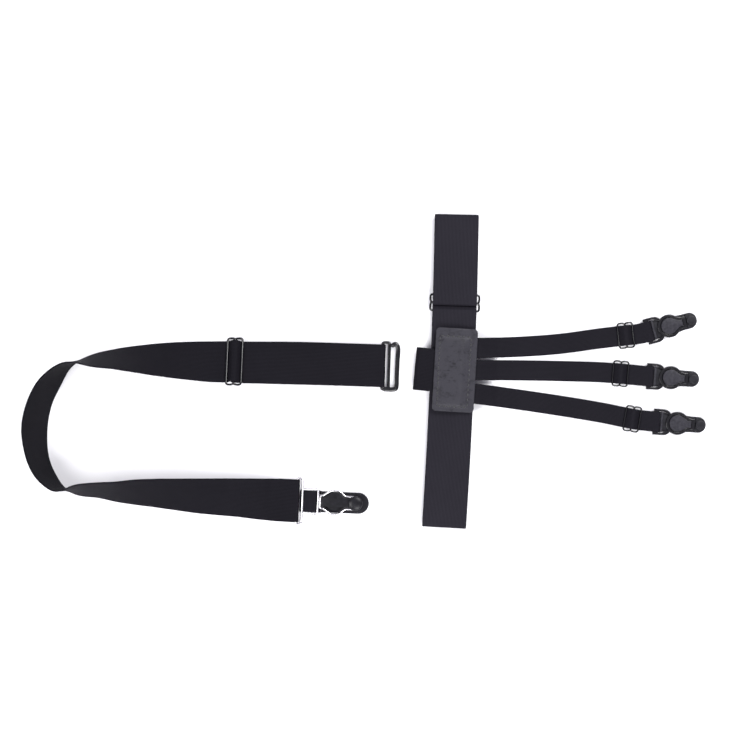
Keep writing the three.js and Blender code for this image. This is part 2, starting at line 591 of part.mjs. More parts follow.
// Shirt straps: each comes off the patch to the floor, runs through its slider, round the clip's
// strap bar and back, and is sewn round the slider's centre bar
const smallPitch = (SMALL_SLIDER_LENGTH - SMALL_SLIDER_WIRE) / 2;
const smallRound = roundBar(SMALL_SLIDER_WIRE, NARROW_THICK);
const smallOver = roundSewn(SMALL_SLIDER_WIRE, NARROW_THICK);
const smallHeight = 2 * (NARROW_THICK + GAP) + SMALL_SLIDER_WIRE / 2;
const smallSlider = sliderGeometry(SMALL_SLIDER_LENGTH, SMALL_SLIDER_WIRE, NARROW_WEB);
const clipFrame = clipFrameGeometry();
const clipPad = clipPadGeometry();
sewn.updateMatrixWorld(true);
SHIRT_STRAPS.forEach(({ reach, back, rows }, index) => {
  const number = index + 1;
  const root = sewn.localToWorld(new THREE.Vector3(STRAP_ROOT, (1 - index) * STRAP_PITCH, 0));
  const course = courseThrough(rows.map(({ along, aside }) => (
    { x: root.x + reach * along, y: root.y + reach * aside })));
  const clipAt = course.length - clipButton;
  const sliderAt = clipAt - back;
  const edge = PATCH_WIDTH / 2;
  const path = beltPath([
    { s: 0, h: strapBase + NARROW_THICK / 2 },
    { s: edge, h: strapBase + NARROW_THICK / 2 - STRAP_BEND, r: STRAP_BEND, turn: -1 },
    { s: edge + STRAP_DROP, h: NARROW_THICK / 2 + 2 * STRAP_BEND, r: 2 * STRAP_BEND, turn: 1 },
    { s: sliderAt - smallPitch, h: smallHeight, r: smallRound, turn: 1 },
    { s: sliderAt, h: smallHeight, r: smallOver, turn: -1 },
    { s: sliderAt + smallPitch, h: smallHeight, r: smallRound, turn: 1 },
    { s: clipAt + CLIP_METAL / 2, h: clipHeight, r: clipWrap, turn: -1 },
    { s: clipAt + clipEdge, h: clipHeight, r: clipWrap, turn: -1 },
    { s: sliderAt + smallPitch + SMALL_SLIDER_WIRE / 2, h: NARROW_THICK / 2 + STRAP_BEND,
      r: STRAP_BEND, turn: -1 },
    { s: sliderAt, h: smallHeight, r: smallRound, turn: -1 },
    { s: sliderAt + SEAM_LAP, h: smallHeight + smallRound },
  ]);
  const strap = strapGeometry(course, refine(path, SHIRT_STEP), NARROW_WEB, NARROW_THICK);
  addMesh(`shirt_strap_${number}`, strap, WEBBING);
  placeOn(addMesh(`shirt_slider_${number}`, smallSlider, BLACK_METAL), course, sliderAt, smallHeight);
  placeOn(addMesh(`clip_frame_${number}`, clipFrame, BLACK_METAL), course, clipAt, clipHeight);
  placeOn(addMesh(`clip_pad_${number}`, clipPad, PAD_PLASTIC), course, clipAt, 0);
});

// Sock strap: sewn round its slider, under to the swan hook, back through the slider,
// round the standing U and folded round the silver ring
const hookRound = roundBar(HOOK_WIRE, WIDE_THICK);
const hookHeight = WIDE_THICK / 2 + hookRound;
const ringRound = roundBar(RING_WIRE, WIDE_THICK);
const ringHeight = WIDE_THICK / 2 + ringRound;
const sockHeight = 2 * (WIDE_THICK + GAP) + WIDE_SLIDER_WIRE / 2;
const sockPitch = (SOCK_SLIDER_LENGTH - WIDE_SLIDER_WIRE) / 2;
const sockSliderAt = SOCK_REACH * SOCK_SLIDER_SHARE;
const tabFold = tab.localToWorld(new THREE.Vector3(-TAB_REACH, 0, 0));
const hookSpot = new THREE.Vector3(tabFold.x - HOOK_AWAY, tabFold.y + HOOK_ASIDE, 0);
const sockCourse = courseThrough(SOCK_ROWS.map(({ out, down, roll }) => (
  { x: hookSpot.x - SOCK_REACH * out, y: hookSpot.y - SOCK_SPREAD * down, roll })), SOCK_WEB, WIDE_THICK);
const sockEnd = sockCourse.length;
const doubled = WIDE_THICK * 1.5 + GAP;
const sockPath = beltPath([
  { s: sockSliderAt - SEAM_LAP, h: sockHeight + bandRound },
  { s: sockSliderAt, h: sockHeight, r: bandRound, turn: -1 },
  { s: sockSliderAt - sockPitch - WIDE_SLIDER_WIRE / 2, h: WIDE_THICK / 2 + SOCK_BEND,
    r: SOCK_BEND, turn: -1 },
  { s: 0, h: hookHeight, r: hookRound, turn: -1 },
  { s: sockSliderAt - sockPitch, h: sockHeight, r: bandRound, turn: 1 },
  { s: sockSliderAt, h: sockHeight, r: bandOver, turn: -1 },
  { s: sockSliderAt + sockPitch, h: sockHeight, r: bandRound, turn: 1 },
  { s: sockSliderAt + sockPitch + 2 * SOCK_BEND, h: WIDE_THICK / 2 + SOCK_BEND, r: SOCK_BEND, turn: 1 },
  { s: sockEnd - SOCK_FOLD - SOCK_BEND, h: WIDE_THICK / 2 + SOCK_BEND, r: SOCK_BEND, turn: 1 },
  { s: sockEnd - SOCK_FOLD, h: doubled - SOCK_BEND, r: SOCK_BEND, turn: -1 },
  { s: sockEnd, h: ringHeight, r: ringRound, turn: -1 },
  { s: sockEnd - SOCK_FOLD, h: WIDE_THICK / 2 },
]);
addMesh('sock_strap', strapGeometry(sockCourse, refine(sockPath, SOCK_STEP), SOCK_WEB, WIDE_THICK), WEBBING);
const sockSlider = sliderGeometry(SOCK_SLIDER_LENGTH, WIDE_SLIDER_WIRE, SOCK_WEB);
placeOn(addMesh('sock_slider', sockSlider, BLACK_METAL), sockCourse, sockSliderAt, sockHeight);

// Swan hook: a closed strap loop, and a wire from its foot round to a curled free end
function hookGeometry() {
  const side = SOCK_WEB / 2 + SIDE_PLAY + HOOK_WIRE / 2;
  const corner = SIDE_PLAY + HOOK_WIRE / 2;
  const loop = new THREE.Path();
  loop.moveTo(0, 0);
  loop.lineTo(0, -side + corner);
  loop.quadraticCurveTo(0, -side, corner, -side);
  loop.lineTo(HOOK_BAR_PITCH - corner, -side);
  loop.quadraticCurveTo(HOOK_BAR_PITCH, -side, HOOK_BAR_PITCH, -side + corner);
  loop.lineTo(HOOK_BAR_PITCH, side - corner);
  loop.quadraticCurveTo(HOOK_BAR_PITCH, side, HOOK_BAR_PITCH - corner, side);
  loop.lineTo(corner, side);
  loop.quadraticCurveTo(0, side, 0, side - corner);
  loop.lineTo(0, 0);
  const outer = HOOK_BAR_PITCH + HOOK_THROAT;
  const end = outer + HOOK_LEAN;
  const top = side - HOOK_SHORT;
  const bends = [
    [HOOK_BAR_PITCH / 2, -side], [HOOK_BAR_PITCH, -side], [outer - 2 * corner, -side],
    [outer - 0.4 * corner, -side + 0.4 * corner], [outer, -side + 2 * corner], [outer, -side / 2],
    [outer + HOOK_LEAN / 2, side / 4], [end, top - 0.85 * HOOK_CURL],
    [end - 0.2 * HOOK_CURL, top - 0.3 * HOOK_CURL], [end - 0.55 * HOOK_CURL, top],
    [end - HOOK_CURL, top - 0.26 * HOOK_CURL],
  ];
  const curve = new THREE.CatmullRomCurve3(bends.map(([x, y]) => new THREE.Vector3(x, y, 0)));
  const section = new THREE.Shape();
  section.absellipse(0, 0, HOOK_WIRE / 2, HOOK_ARM / 2, 0, 2 * Math.PI, false, 0);
  const options = { steps: 28, extrudePath: curve, curveSegments: WIRE_SIDES / 2 };
  return join([wireLoop(loop, HOOK_WIRE, 48), new THREE.ExtrudeGeometry(section, options)]);
}
placeOn(addMesh('swan_hook', hookGeometry(), BLACK_METAL), sockCourse, 0, hookHeight, true);

// Silver ring: a wide strap loop and a narrow loop soldered to its front bar
function ringGeometry() {
  const wide = SOCK_WEB / 2 + SIDE_PLAY + RING_WIRE / 2;
  const narrow = LINK_WEB / 2 + SIDE_PLAY + RING_WIRE / 2;
  const corner = SIDE_PLAY + RING_WIRE / 2;
  const wideLoop = new THREE.Path();
  wideLoop.moveTo(0, 0);
  wideLoop.lineTo(0, -wide + corner);
  wideLoop.quadraticCurveTo(0, -wide, corner, -wide);
  wideLoop.quadraticCurveTo(RING_FRONT, -wide, RING_FRONT, -wide + corner);
  wideLoop.lineTo(RING_FRONT, wide - corner);
  wideLoop.quadraticCurveTo(RING_FRONT, wide, corner, wide);
  wideLoop.quadraticCurveTo(0, wide, 0, wide - corner);
  wideLoop.lineTo(0, 0);
  const narrowLoop = new THREE.Path();
  narrowLoop.moveTo(RING_FRONT, 0);
  narrowLoop.lineTo(RING_FRONT, -narrow);
  narrowLoop.lineTo(RING_END - corner, -narrow);
  narrowLoop.quadraticCurveTo(RING_END + corner / 2, -narrow - RING_FLARE, RING_END, -narrow + corner);
  narrowLoop.lineTo(RING_END, narrow - corner);
  narrowLoop.quadraticCurveTo(RING_END + corner / 2, narrow + RING_FLARE, RING_END - corner, narrow);
  narrowLoop.lineTo(RING_FRONT, narrow);
  narrowLoop.lineTo(RING_FRONT, 0);
  return join([wireLoop(wideLoop, RING_WIRE, 48), wireLoop(narrowLoop, RING_WIRE, 36)]);
}
placeOn(addMesh('reducer_ring', ringGeometry(), SILVER), sockCourse, sockEnd, ringHeight);

// Link band: a short band under the front bar and the end bar, humped between them
const linkRound = roundBar(RING_WIRE, NARROW_THICK);
const linkStart = ringRound + WIDE_THICK / 2 + GAP;
const keeperAt = RING_END + RING_WIRE / 2 + GAP + KEEPER_WIRE / 2;
const linkEnd = keeperAt + KEEPER_WIRE / 2;
const linkMiddle = (RING_FRONT + RING_END) / 2;
const linkPath = beltPath([
  { s: sockEnd + linkStart, h: ringHeight - linkRound },
  { s: sockEnd + RING_FRONT, h: ringHeight, r: linkRound, turn: 1 },
  { s: sockEnd + linkMiddle, h: ringHeight - 4, r: 4, turn: -1 },
  { s: sockEnd + RING_END, h: ringHeight, r: linkRound, turn: 1 },
  { s: sockEnd + linkEnd, h: ringHeight - linkRound },
]);
addMesh('link_band', strapGeometry(sockCourse, refine(linkPath, LINK_STEP), LINK_WEB, NARROW_THICK), WEBBING);

// Keeper wire and pad of the sock clip, both drawn from the silver ring's strap bar
const padStart = linkEnd + GAP;
const buttonAt = padStart + SOCK_BUTTON;
const keeperEnd = SOCK_BUTTON_RADIUS - 1;
function keeperOutline(inset) {
  const slant = inset / 3;       // what a slanted side moves along, drawn in by the inset
  const root = KEEPER_ROOT - inset;
  const bulge = KEEPER_BULGE - inset;
  const neck = keeperEnd - inset;
  const start = keeperAt + inset;
  const bends = [
    [start, root, 1], [padStart + 0.045 * SOCK_BUTTON + slant, root, 1.5],
    [padStart + 0.263 * SOCK_BUTTON + slant, bulge, 2.5], [padStart + 0.53 * SOCK_BUTTON - slant, bulge, 2.5],
    [padStart + 0.694 * SOCK_BUTTON - slant, neck, 2],
  ];
  const corner = ([x, y, ease], [toX, toY], side) => {
    const [across, along] = [toX - x, toY - y];
    const share = ease / Math.hypot(across, along);
    return [x + across * share, side * (y + along * share)];
  };
  const outline = new THREE.Path();
  outline.moveTo(start, 0);
  const towards = [[start, 0], ...bends, [buttonAt, neck]];
  bends.forEach((bend, i) => {
    outline.lineTo(...corner(bend, towards[i], -1));
    outline.quadraticCurveTo(bend[0], -bend[1], ...corner(bend, towards[i + 2], -1));
  });
  outline.lineTo(buttonAt, -neck);
  outline.absarc(buttonAt, 0, neck, -Math.PI / 2, Math.PI / 2, false);
  [...bends].reverse().forEach((bend, i) => {
    const k = bends.length - 1 - i;
    outline.lineTo(...corner(bend, towards[k + 2], 1));
    outline.quadraticCurveTo(bend[0], bend[1], ...corner(bend, towards[k], 1));
  });
  outline.lineTo(start, 0);
  return outline;
}
const keeperHeight = SOCK_PAD_THICK + GAP + KEEPER_WIRE / 2;
const keeper = addMesh('clip_wire', wireLoop(keeperOutline(0), KEEPER_WIRE, 52), SILVER);
placeOn(keeper, sockCourse, sockEnd, keeperHeight);

function sockPadGeometry() {
  const half = SOCK_PAD_WIDTH / 2;
  const base = new THREE.Shape();
  base.moveTo(padStart, -half);
  base.absarc(padStart + SOCK_PAD_LENGTH - half, 0, half, -Math.PI / 2, Math.PI / 2, false);
  base.lineTo(padStart, half);
  const raised = new THREE.Shape(keeperOutline(KEEPER_WIRE / 2 + GAP).getSpacedPoints(40));
  const middle = SOCK_PAD_THICK / 2;
  const head = SOCK_BUTTON_RADIUS;
  const under = keeperHeight + KEEPER_WIRE / 2 + GAP;
  return join([
    plate(base, 0, SOCK_PAD_THICK),
    plate(raised, middle, SOCK_PAD_THICK + SOCK_PAD_RAISE - middle),
    turned([[0, middle], [SOCK_STEM_RADIUS, middle], [SOCK_STEM_RADIUS, under], [head, under],
      [head, under + 1], [head * 0.8, SOCK_BUTTON_RISE - 0.6], [head * 0.4, SOCK_BUTTON_RISE],
      [0, SOCK_BUTTON_RISE]], buttonAt),
  ]);
}
placeOn(addMesh('sock_clip_pad', sockPadGeometry(), RUBBER), sockCourse, sockEnd, 0);

// The origin is the middle of the whole part's footprint, on the floor
part.updateMatrixWorld(true);
const box = new THREE.Box3().setFromObject(part, true);
const stay = new THREE.Group();
part.position.set(-(box.min.x + box.max.x) / 2, -(box.min.y + box.max.y) / 2, -box.min.z);
stay.add(part);

export default stay;
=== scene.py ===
# Shirt stay with a sock strap, lying flat on a pale floor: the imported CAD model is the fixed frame,
# and each strap, buckle, clip and stitch is made here at its place in it. Metres, +Z up.
import bisect
import math

import bmesh
import bpy
from mathutils import Matrix, Vector


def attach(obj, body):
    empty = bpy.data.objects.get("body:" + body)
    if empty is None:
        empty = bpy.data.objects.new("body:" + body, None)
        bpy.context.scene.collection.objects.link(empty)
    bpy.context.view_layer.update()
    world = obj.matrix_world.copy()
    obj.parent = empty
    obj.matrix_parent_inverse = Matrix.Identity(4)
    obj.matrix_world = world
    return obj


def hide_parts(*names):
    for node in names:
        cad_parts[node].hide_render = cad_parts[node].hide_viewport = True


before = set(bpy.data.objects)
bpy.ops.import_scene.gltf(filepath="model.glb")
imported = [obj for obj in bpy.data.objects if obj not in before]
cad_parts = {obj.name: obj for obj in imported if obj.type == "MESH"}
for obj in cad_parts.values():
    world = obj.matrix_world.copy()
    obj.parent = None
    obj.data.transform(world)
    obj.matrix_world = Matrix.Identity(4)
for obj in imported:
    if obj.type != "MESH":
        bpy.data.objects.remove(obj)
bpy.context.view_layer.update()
bpy.ops.object.select_all(action="DESELECT")

# Camera
# The stay is seen from straight above, from 1.28 m, with the whole of it in the square frame.
bpy.ops.object.camera_add(location=(0.0063157, -0.0033, 1.28), rotation=(0, 0, 0))
camera = bpy.context.object
camera.data.sensor_width = 36
camera.data.lens = 67.15
camera.data.clip_start = 0.01
bpy.context.scene.camera = camera


# Floor and light
# A plain white sheet under the stay, a soft lamp above and to the upper right, weaker ones across
# from it and in front, and a faint even sky. The sheet is lit past white, so the shadows stay pale.
def node(tree, kind, feed=None, out=0, **settings):
    """A shader node with its settings, its inputs set or linked, and one of its outputs returned."""
    made = tree.nodes.new(kind)
    for key, value in settings.items():
        setattr(made, key, value)
    for key, value in (feed or {}).items():
        if isinstance(value, bpy.types.NodeSocket):
            tree.links.new(value, made.inputs[key])
        else:
            made.inputs[key].default_value = value
    return made.outputs[out]


def noise(tree, spot, scale, detail, roughness=0.5):
    """A cloudy texture, read at each spot."""
    return node(tree, "ShaderNodeTexNoise",
                {"Vector": spot, "Scale": scale, "Detail": detail, "Roughness": roughness})


def relief(tree, shader, height, strength, distance):
    """Lets a texture stand up from a surface."""
    bump = node(tree, "ShaderNodeBump", {"Height": height, "Strength": strength, "Distance": distance})
    tree.links.new(bump, shader.inputs["Normal"])


def finish_of(name, colour, roughness, **shader):
    """A material with its Principled shader's own values set; returns it, its tree and the shader."""
    material = bpy.data.materials.new(name)
    material.use_nodes = True
    tree = material.node_tree
    principled = tree.nodes["Principled BSDF"]
    principled.inputs["Base Color"].default_value = (*colour, 1)
    principled.inputs["Roughness"].default_value = roughness
    for key, value in shader.items():
        principled.inputs[key.replace("_", " ")].default_value = value
    return material, tree, principled


FLOOR_SIZE, FLOOR_CLEAR = 9, 0.0003
bpy.ops.mesh.primitive_plane_add(size=FLOOR_SIZE, location=(0, 0, -FLOOR_CLEAR))
floor = bpy.context.object
floor.name = "floor"
paper, tree, shader = finish_of("paper_floor", (0.93, 0.93, 0.94), 0.9, Specular_IOR_Level=0.2)
fibre = noise(tree, node(tree, "ShaderNodeTexCoord", out="Object"), scale=700, detail=4)
relief(tree, shader, fibre, strength=0.05, distance=0.0002)
floor.data.materials.append(paper)


def soft_lamp(name, spot, size, power):
    """A square lamp that faces the middle of the stay."""
    bpy.ops.object.light_add(type="AREA", location=spot)
    lamp = bpy.context.object
    lamp.name = name
    lamp.data.shape = "SQUARE"
    lamp.data.size = size
    lamp.data.energy = power
    lamp.rotation_euler = (-Vector(spot)).to_track_quat("-Z", "Y").to_euler()


soft_lamp("lamp_key", (0.75, 0.95, 1.25), 0.8, 30)
soft_lamp("lamp_fill", (-1.1, -0.5, 1.3), 0.8, 22)
soft_lamp("lamp_front", (0.35, -1.2, 1.2), 0.8, 22)
world = bpy.data.worlds.new("white_room")
world.use_nodes = True
sky = world.node_tree.nodes["Background"]
sky.inputs["Color"].default_value = (0.90, 0.87, 1.0, 1)
sky.inputs["Strength"].default_value = 0.55
bpy.context.scene.world = world
bpy.context.scene.view_settings.view_transform = "Standard"

# Thigh band
# A flattened loop of 40 mm black knitted elastic. One end is sewn round the middle bar of the
# slider; the other comes up through the slider and ends in a free tail between the layers.
SHIFT = Vector((0.0750645, 0.0003735, 0.0))  # from the band's middle to the model's origin
GAP = 0.0003  # between pieces that touch
SIDE_PLAY = 0.0004  # beside a strap inside its metal
WIDE_WEB, WIDE_THICK = 0.040, 0.0012
SEAM_LAP = 0.0006
BAND_LENGTH = 0.286
BAND_LEAN = math.radians(2.35)
BAND_BOW = 0.0017
BAND_OPEN = 0.006
BAND_TAIL = 0.024
BAND_SLIDER_DROP = 0.0808  # the slider's middle bar below the band's upper end
SLIDER_WIRE, BAND_SLIDER_LENGTH = 0.0020, 0.0168


def side_path(circles, bend=math.radians(10)):
    """A strap seen from its side, as a belt round circles of (s, h, r, turn), turn 1 anticlockwise."""
    heads = []
    for (s0, h0, r0, t0), (s1, h1, r1, t1) in zip(circles, circles[1:]):
        apart = math.hypot(s1 - s0, h1 - h0)
        heads.append(math.atan2(h1 - h0, s1 - s0) - math.asin((t1 * r1 - t0 * r0) / apart))
    path = []
    for i, (s, h, r, turn) in enumerate(circles):
        start, end = heads[max(i - 1, 0)], heads[min(i, len(heads) - 1)]
        sweep = turn * (((end - start) * turn) % math.tau)
        if turn == 0 or abs(sweep) > math.tau * 0.9:
            sweep = 0
        steps = max(math.ceil(abs(sweep) / bend), 1) if sweep else 0
        for k in range(steps + 1):
            head = start + (sweep * k / steps if steps else 0)
            path.append(Vector((s + math.sin(head) * turn * r, h - math.cos(head) * turn * r)))
    return path


def finer(path, step):
    """The same path with points no further apart than step."""
    fine = [path[0]]
    for a, b in zip(path, path[1:]):
        count = max(math.ceil((b - a).length / step), 1)
        fine += [a.lerp(b, k / count) for k in range(1, count + 1)]
    return fine


def smooth_at(points, share, even=False):
    """The point at a share of the smooth line through the points."""
    last = len(points) - 1
    i = min(int(last * share), last - 1)
    w = last * share - i
    b, c = points[i], points[i + 1]
    a = points[i - 1] if i else 2 * b - c
    d = points[i + 2] if i + 2 <= last else 2 * c - b
    if even:
        m, n = (c - a) / 2, (d - b) / 2
    else:
        e, f, g = ((q - p).length ** 0.5 for p, q in ((a, b), (b, c), (c, d)))
        m = ((b - a) / e - (c - a) / (e + f) + (c - b) / f) * f
        n = ((c - b) / f - (d - b) / (f + g) + (d - c) / g) * f
    return b + m * w + (3 * (c - b) - 2 * m - n) * w ** 2 + (2 * (b - c) + m + n) * w ** 3


class Course:
    """How a strap lies in plan: a smooth line through rows of x, y and the strap's roll in degrees."""

    def __init__(self, rows, web=0.0, thick=0.0):
        spots = [Vector((x, y, 0)) for x, y, roll in rows]
        rolls = [Vector((roll, 0)) for x, y, roll in rows]
        samples = 40 * len(rows)
        self.spots, self.rolls, self.runs = [], [], []
        for i in range(samples + 1):
            spot = smooth_at(spots, i / samples)
            roll = math.radians(max(smooth_at(rolls, i / samples, even=True).x, 0))
            spot.z = web / 2 * math.sin(roll) + max(-math.cos(roll), 0) * thick
            step = (spot - self.spots[-1]).length if i else 0
            self.runs.append(self.runs[-1] + step if i else 0)
            self.spots.append(spot)
            self.rolls.append(roll)
        self.length = self.runs[-1]

    def at(self, s):
        """The point at s, and the directions along the strap, across it and out of its face."""
        last = len(self.runs) - 1
        i = min(max(bisect.bisect_left(self.runs, s), 1), last)
        share = (s - self.runs[i - 1]) / (self.runs[i] - self.runs[i - 1])
        along = (self.spots[min(i + 2, last)] - self.spots[max(i - 3, 0)]).normalized()
        clamped = min(max(share, 0), 1)
        roll = self.rolls[i - 1] * (1 - clamped) + self.rolls[i] * clamped
        left = Vector((-along.y, along.x, 0)).normalized()
        across = left * math.cos(roll) + Vector((0, 0, math.sin(roll)))
        across = (across - along * across.dot(along)).normalized()
        point = self.spots[i - 1].lerp(self.spots[i], share) + SHIFT
        return point, along, across, along.cross(across)

    def seat(self, s, height, against=False):
        """The matrix that puts a hard piece at s on the strap, its X along it or against it."""
        point, along, across, up = self.at(s)
        flip = -1 if against else 1
        place = Matrix((along * flip, across * flip, up)).transposed().to_4x4()
        place.translation = point + up * height
        return place


def knitted_strap(name, course, path, web, thick, faces, ripple=0.0):
    """A strap of elastic along a course, with round selvedges, its UV in metres along and across.
    faces are its outer and inner materials; ripple is how far its faces swell and sink."""
    flat = web / 2 - thick / 2
    bend = (0.6, 1.1, 1.57)  # angles of the points that round a selvedge
    ring = [(flat - 2 * flat * k / 12, 1.0, 0) for k in range(13)]
    ring += [(-flat - thick / 2 * math.sin(a), math.cos(a), 0) for a in bend]
    ring += [(-flat - thick / 2 * math.sin(a), -math.cos(a), 1) for a in bend[1::-1]]
    ring += [(-flat + 2 * flat * k / 12, -1.0, 1) for k in range(13)]
    ring += [(flat + thick / 2 * math.sin(a), -math.cos(a), 1) for a in bend[:2]]
    ring += [(flat + thick / 2 * math.sin(a), math.cos(a), 0) for a in bend[::-1]]
    mesh = bmesh.new()
    uv = mesh.loops.layers.uv.new("UVMap")
    rows, runs, run = [], [], 0.0
    for i, point in enumerate(path):
        back = max(i - 1, 0)
        ahead = min(i, len(path) - 2)
        into = (path[back + 1] - path[back]).normalized()
        away = (path[ahead + 1] - path[ahead]).normalized()
        middle = (into + away).normalized()
        mitre = thick / 2 / max(middle.dot(into), 0.5)
        normal = Vector((-middle.y, middle.x)) * mitre
        if i:
            run += (point - path[i - 1]).length
        runs.append(run)
        row = []
        for across, face, _ in ring:
            swell = ripple * math.sin(run * 190 + math.sin(across * 160) * 2.0) * math.sin(run * 61 + 1.0)
            spot = point + normal * (face * (1 + swell))
            centre, along, side, up = course.at(spot.x)
            row.append(mesh.verts.new(centre + up * spot.y + side * across))
        rows.append(row)
    count = len(ring)
    for i in range(len(rows) - 1):
        for k in range(count):
            n = (k + 1) % count
            face = mesh.faces.new((rows[i][k], rows[i][n], rows[i + 1][n], rows[i + 1][k]))
            face.material_index = 1 if ring[k][2] and ring[n][2] else 0
            face.smooth = True
            for loop, (u, v) in zip(face.loops, ((i, k), (i, n), (i + 1, n), (i + 1, k))):
                loop[uv].uv = (runs[u], ring[v][0])
    for row, run in ((rows[0], 0), (rows[-1], runs[-1])):
        cap = mesh.faces.new(row)
        for loop, (across, _, _) in zip(cap.loops, ring):
            loop[uv].uv = (run, across)
    bmesh.ops.recalc_face_normals(mesh, faces=mesh.faces)
    data = bpy.data.meshes.new(name)
    mesh.to_mesh(data)
    mesh.free()
    strap = bpy.data.objects.new(name, data)
    bpy.context.collection.objects.link(strap)
    for material in faces:
        data.materials.append(material)
    return strap


def maths(tree, kind, a, b=0.0):
    """A texture worked out from one or two others."""
    return node(tree, "ShaderNodeMath", {0: a, 1: b}, operation=kind)


def two_tones(tree, shader, tone, dark, light, start, end):
    """Colours a surface from dark to light as its tone goes from start to end."""
    ramp = tree.nodes.new("ShaderNodeValToRGB")
    for stop, place, colour in zip(ramp.color_ramp.elements, (start, end), (dark, light)):
        stop.position = place
        stop.color = (*colour, 1)
    tree.links.new(tone, ramp.inputs[0])
    tree.links.new(ramp.outputs[0], shader.inputs["Base Color"])


def elastic(name, dark, light, sheen, wale=0.00125, pick=0.00095):
    """Knitted elastic: rounded ribs along the strap, slanting stitches across them. Its colour is painted
    lighter on the knit's crests and darker in its hollows, a painted highlight and shade, with a random
    cloudy tone over it.
    """
    material, tree, shader = finish_of(
        name, dark, 0.7, Specular_IOR_Level=0.05, Sheen_Weight=sheen, Sheen_Roughness=0.35,
        Sheen_Tint=(0.72, 0.68, 0.95, 1))
    spot = node(tree, "ShaderNodeUVMap", uv_map="UVMap")
    axes = tree.nodes.new("ShaderNodeSeparateXYZ")
    tree.links.new(spot, axes.inputs[0])
    across = maths(tree, "MULTIPLY", axes.outputs["Y"], math.pi / wale)
    along = maths(tree, "MULTIPLY", axes.outputs["X"], math.tau / pick)
    rib = maths(tree, "ABSOLUTE", maths(tree, "SINE", across))
    stitch = maths(tree, "SINE", maths(tree, "ADD", maths(tree, "MULTIPLY", rib, 1.6), along))
    knit = maths(tree, "ADD", maths(tree, "MULTIPLY", rib, 0.62), maths(tree, "MULTIPLY", stitch, 0.19))
    fuzz = noise(tree, spot, scale=900, detail=5, roughness=0.7)
    cloud = noise(tree, spot, scale=22, detail=3)
    height = maths(tree, "ADD", knit, maths(tree, "MULTIPLY", fuzz, 0.35))
    # tone: painted highlight on the knit's crests and painted shade in its hollows, from the relief height,
    # with a random cloudy tone
    tone = maths(tree, "ADD", maths(tree, "MULTIPLY", height, 0.75), maths(tree, "MULTIPLY", cloud, 0.25))
    two_tones(tree, shader, tone, dark, light, start=0.2, end=0.85)
    relief(tree, shader, height, strength=0.55, distance=0.00025)
    return material


# One knitted elastic in three tones; each wide strap takes one for its outer face and one for its inner face.
# The back tone is the darkest: on the sock strap's inner face, in sight where the strap stands on its edge at
# its turn, its darkness is partly the elastic's back and partly painted shade of that steep face.
satin = elastic("elastic_satin", (0.0065, 0.0060, 0.0085), (0.0190, 0.0178, 0.0235), 0.02)
dull = elastic("elastic_back", (0.0024, 0.0023, 0.0033), (0.0080, 0.0075, 0.0102), 0.01)
deep = elastic("elastic_sock", (0.0026, 0.0025, 0.0036), (0.0095, 0.0088, 0.0122), 0.01)

band_pitch = (BAND_SLIDER_LENGTH - SLIDER_WIRE) / 2
wide_round = SLIDER_WIRE / 2 + GAP + WIDE_THICK / 2
wide_over = wide_round + WIDE_THICK + GAP
band_at = BAND_LENGTH - BAND_SLIDER_DROP
band_height = WIDE_THICK + GAP + WIDE_THICK / 2 + wide_over
fold = (BAND_OPEN + WIDE_THICK) / 2
fold_height = WIDE_THICK / 2 + fold
band_rows = []
for share in (0, 0.25, 0.5, 0.75, 1):
    rise, bow = share - 0.5, BAND_BOW * (1 - (2 * share - 1) ** 2)
    band_rows.append((BAND_LENGTH * rise * math.sin(BAND_LEAN) + bow * math.cos(BAND_LEAN),
                      BAND_LENGTH * rise * math.cos(BAND_LEAN) - bow * math.sin(BAND_LEAN), 0))
band_course = Course(band_rows)
band_path = side_path([
    (band_at + SEAM_LAP, band_height - wide_round, 0, 0),
    (band_at, band_height, wide_round, -1),
    (band_at + band_pitch, band_height, wide_over, -1),
    (BAND_LENGTH - fold_height, fold_height, fold, -1),
    (fold_height, fold_height, fold, -1),
    (band_at - band_pitch, band_height, wide_round, -1),
    (band_at, band_height, wide_over, 1),
    (band_at + band_pitch, band_height, wide_round, -1),
    (band_at + band_pitch + BAND_TAIL, fold_height, 0, 0),
])
thigh_band = knitted_strap("thigh_band_elastic", band_course, finer(band_path, 0.003),
                           WIDE_WEB, WIDE_THICK, (satin, dull), 0.12)
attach(thigh_band, "root")
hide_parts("thigh_band")


# Thigh slider
# A three-bar slider of black enamelled wire, seen from its back: the rim dips between its two
# windows, and the middle bar, which the band is sewn round, is welded across the dips.
NOTCH = 0.0009


def eased(a, turn, b, steps=8):
    """Points of a soft bend from a to b, past its corner."""
    a, turn, b = Vector(a), Vector(turn), Vector(b)
    shares = [k / steps for k in range(steps + 1)]
    return [a * (1 - t) ** 2 + turn * 2 * t * (1 - t) + b * t ** 2 for t in shares]


def rounded(corners, steps=6):
    """A closed outline through corners of (x, y, radius), each rounded by its radius."""
    points = []
    for i, (x, y, radius) in enumerate(corners):
        here = Vector((x, y))
        arms = [Vector(corners[i - 1][:2]) - here, Vector(corners[(i + 1) % len(corners)][:2]) - here]
        reach = min(radius, *(arm.length * 0.5 for arm in arms))
        a, b = (here + arm.normalized() * reach for arm in arms)
        points += eased(a, here, b, steps) if reach else [here]
    return points


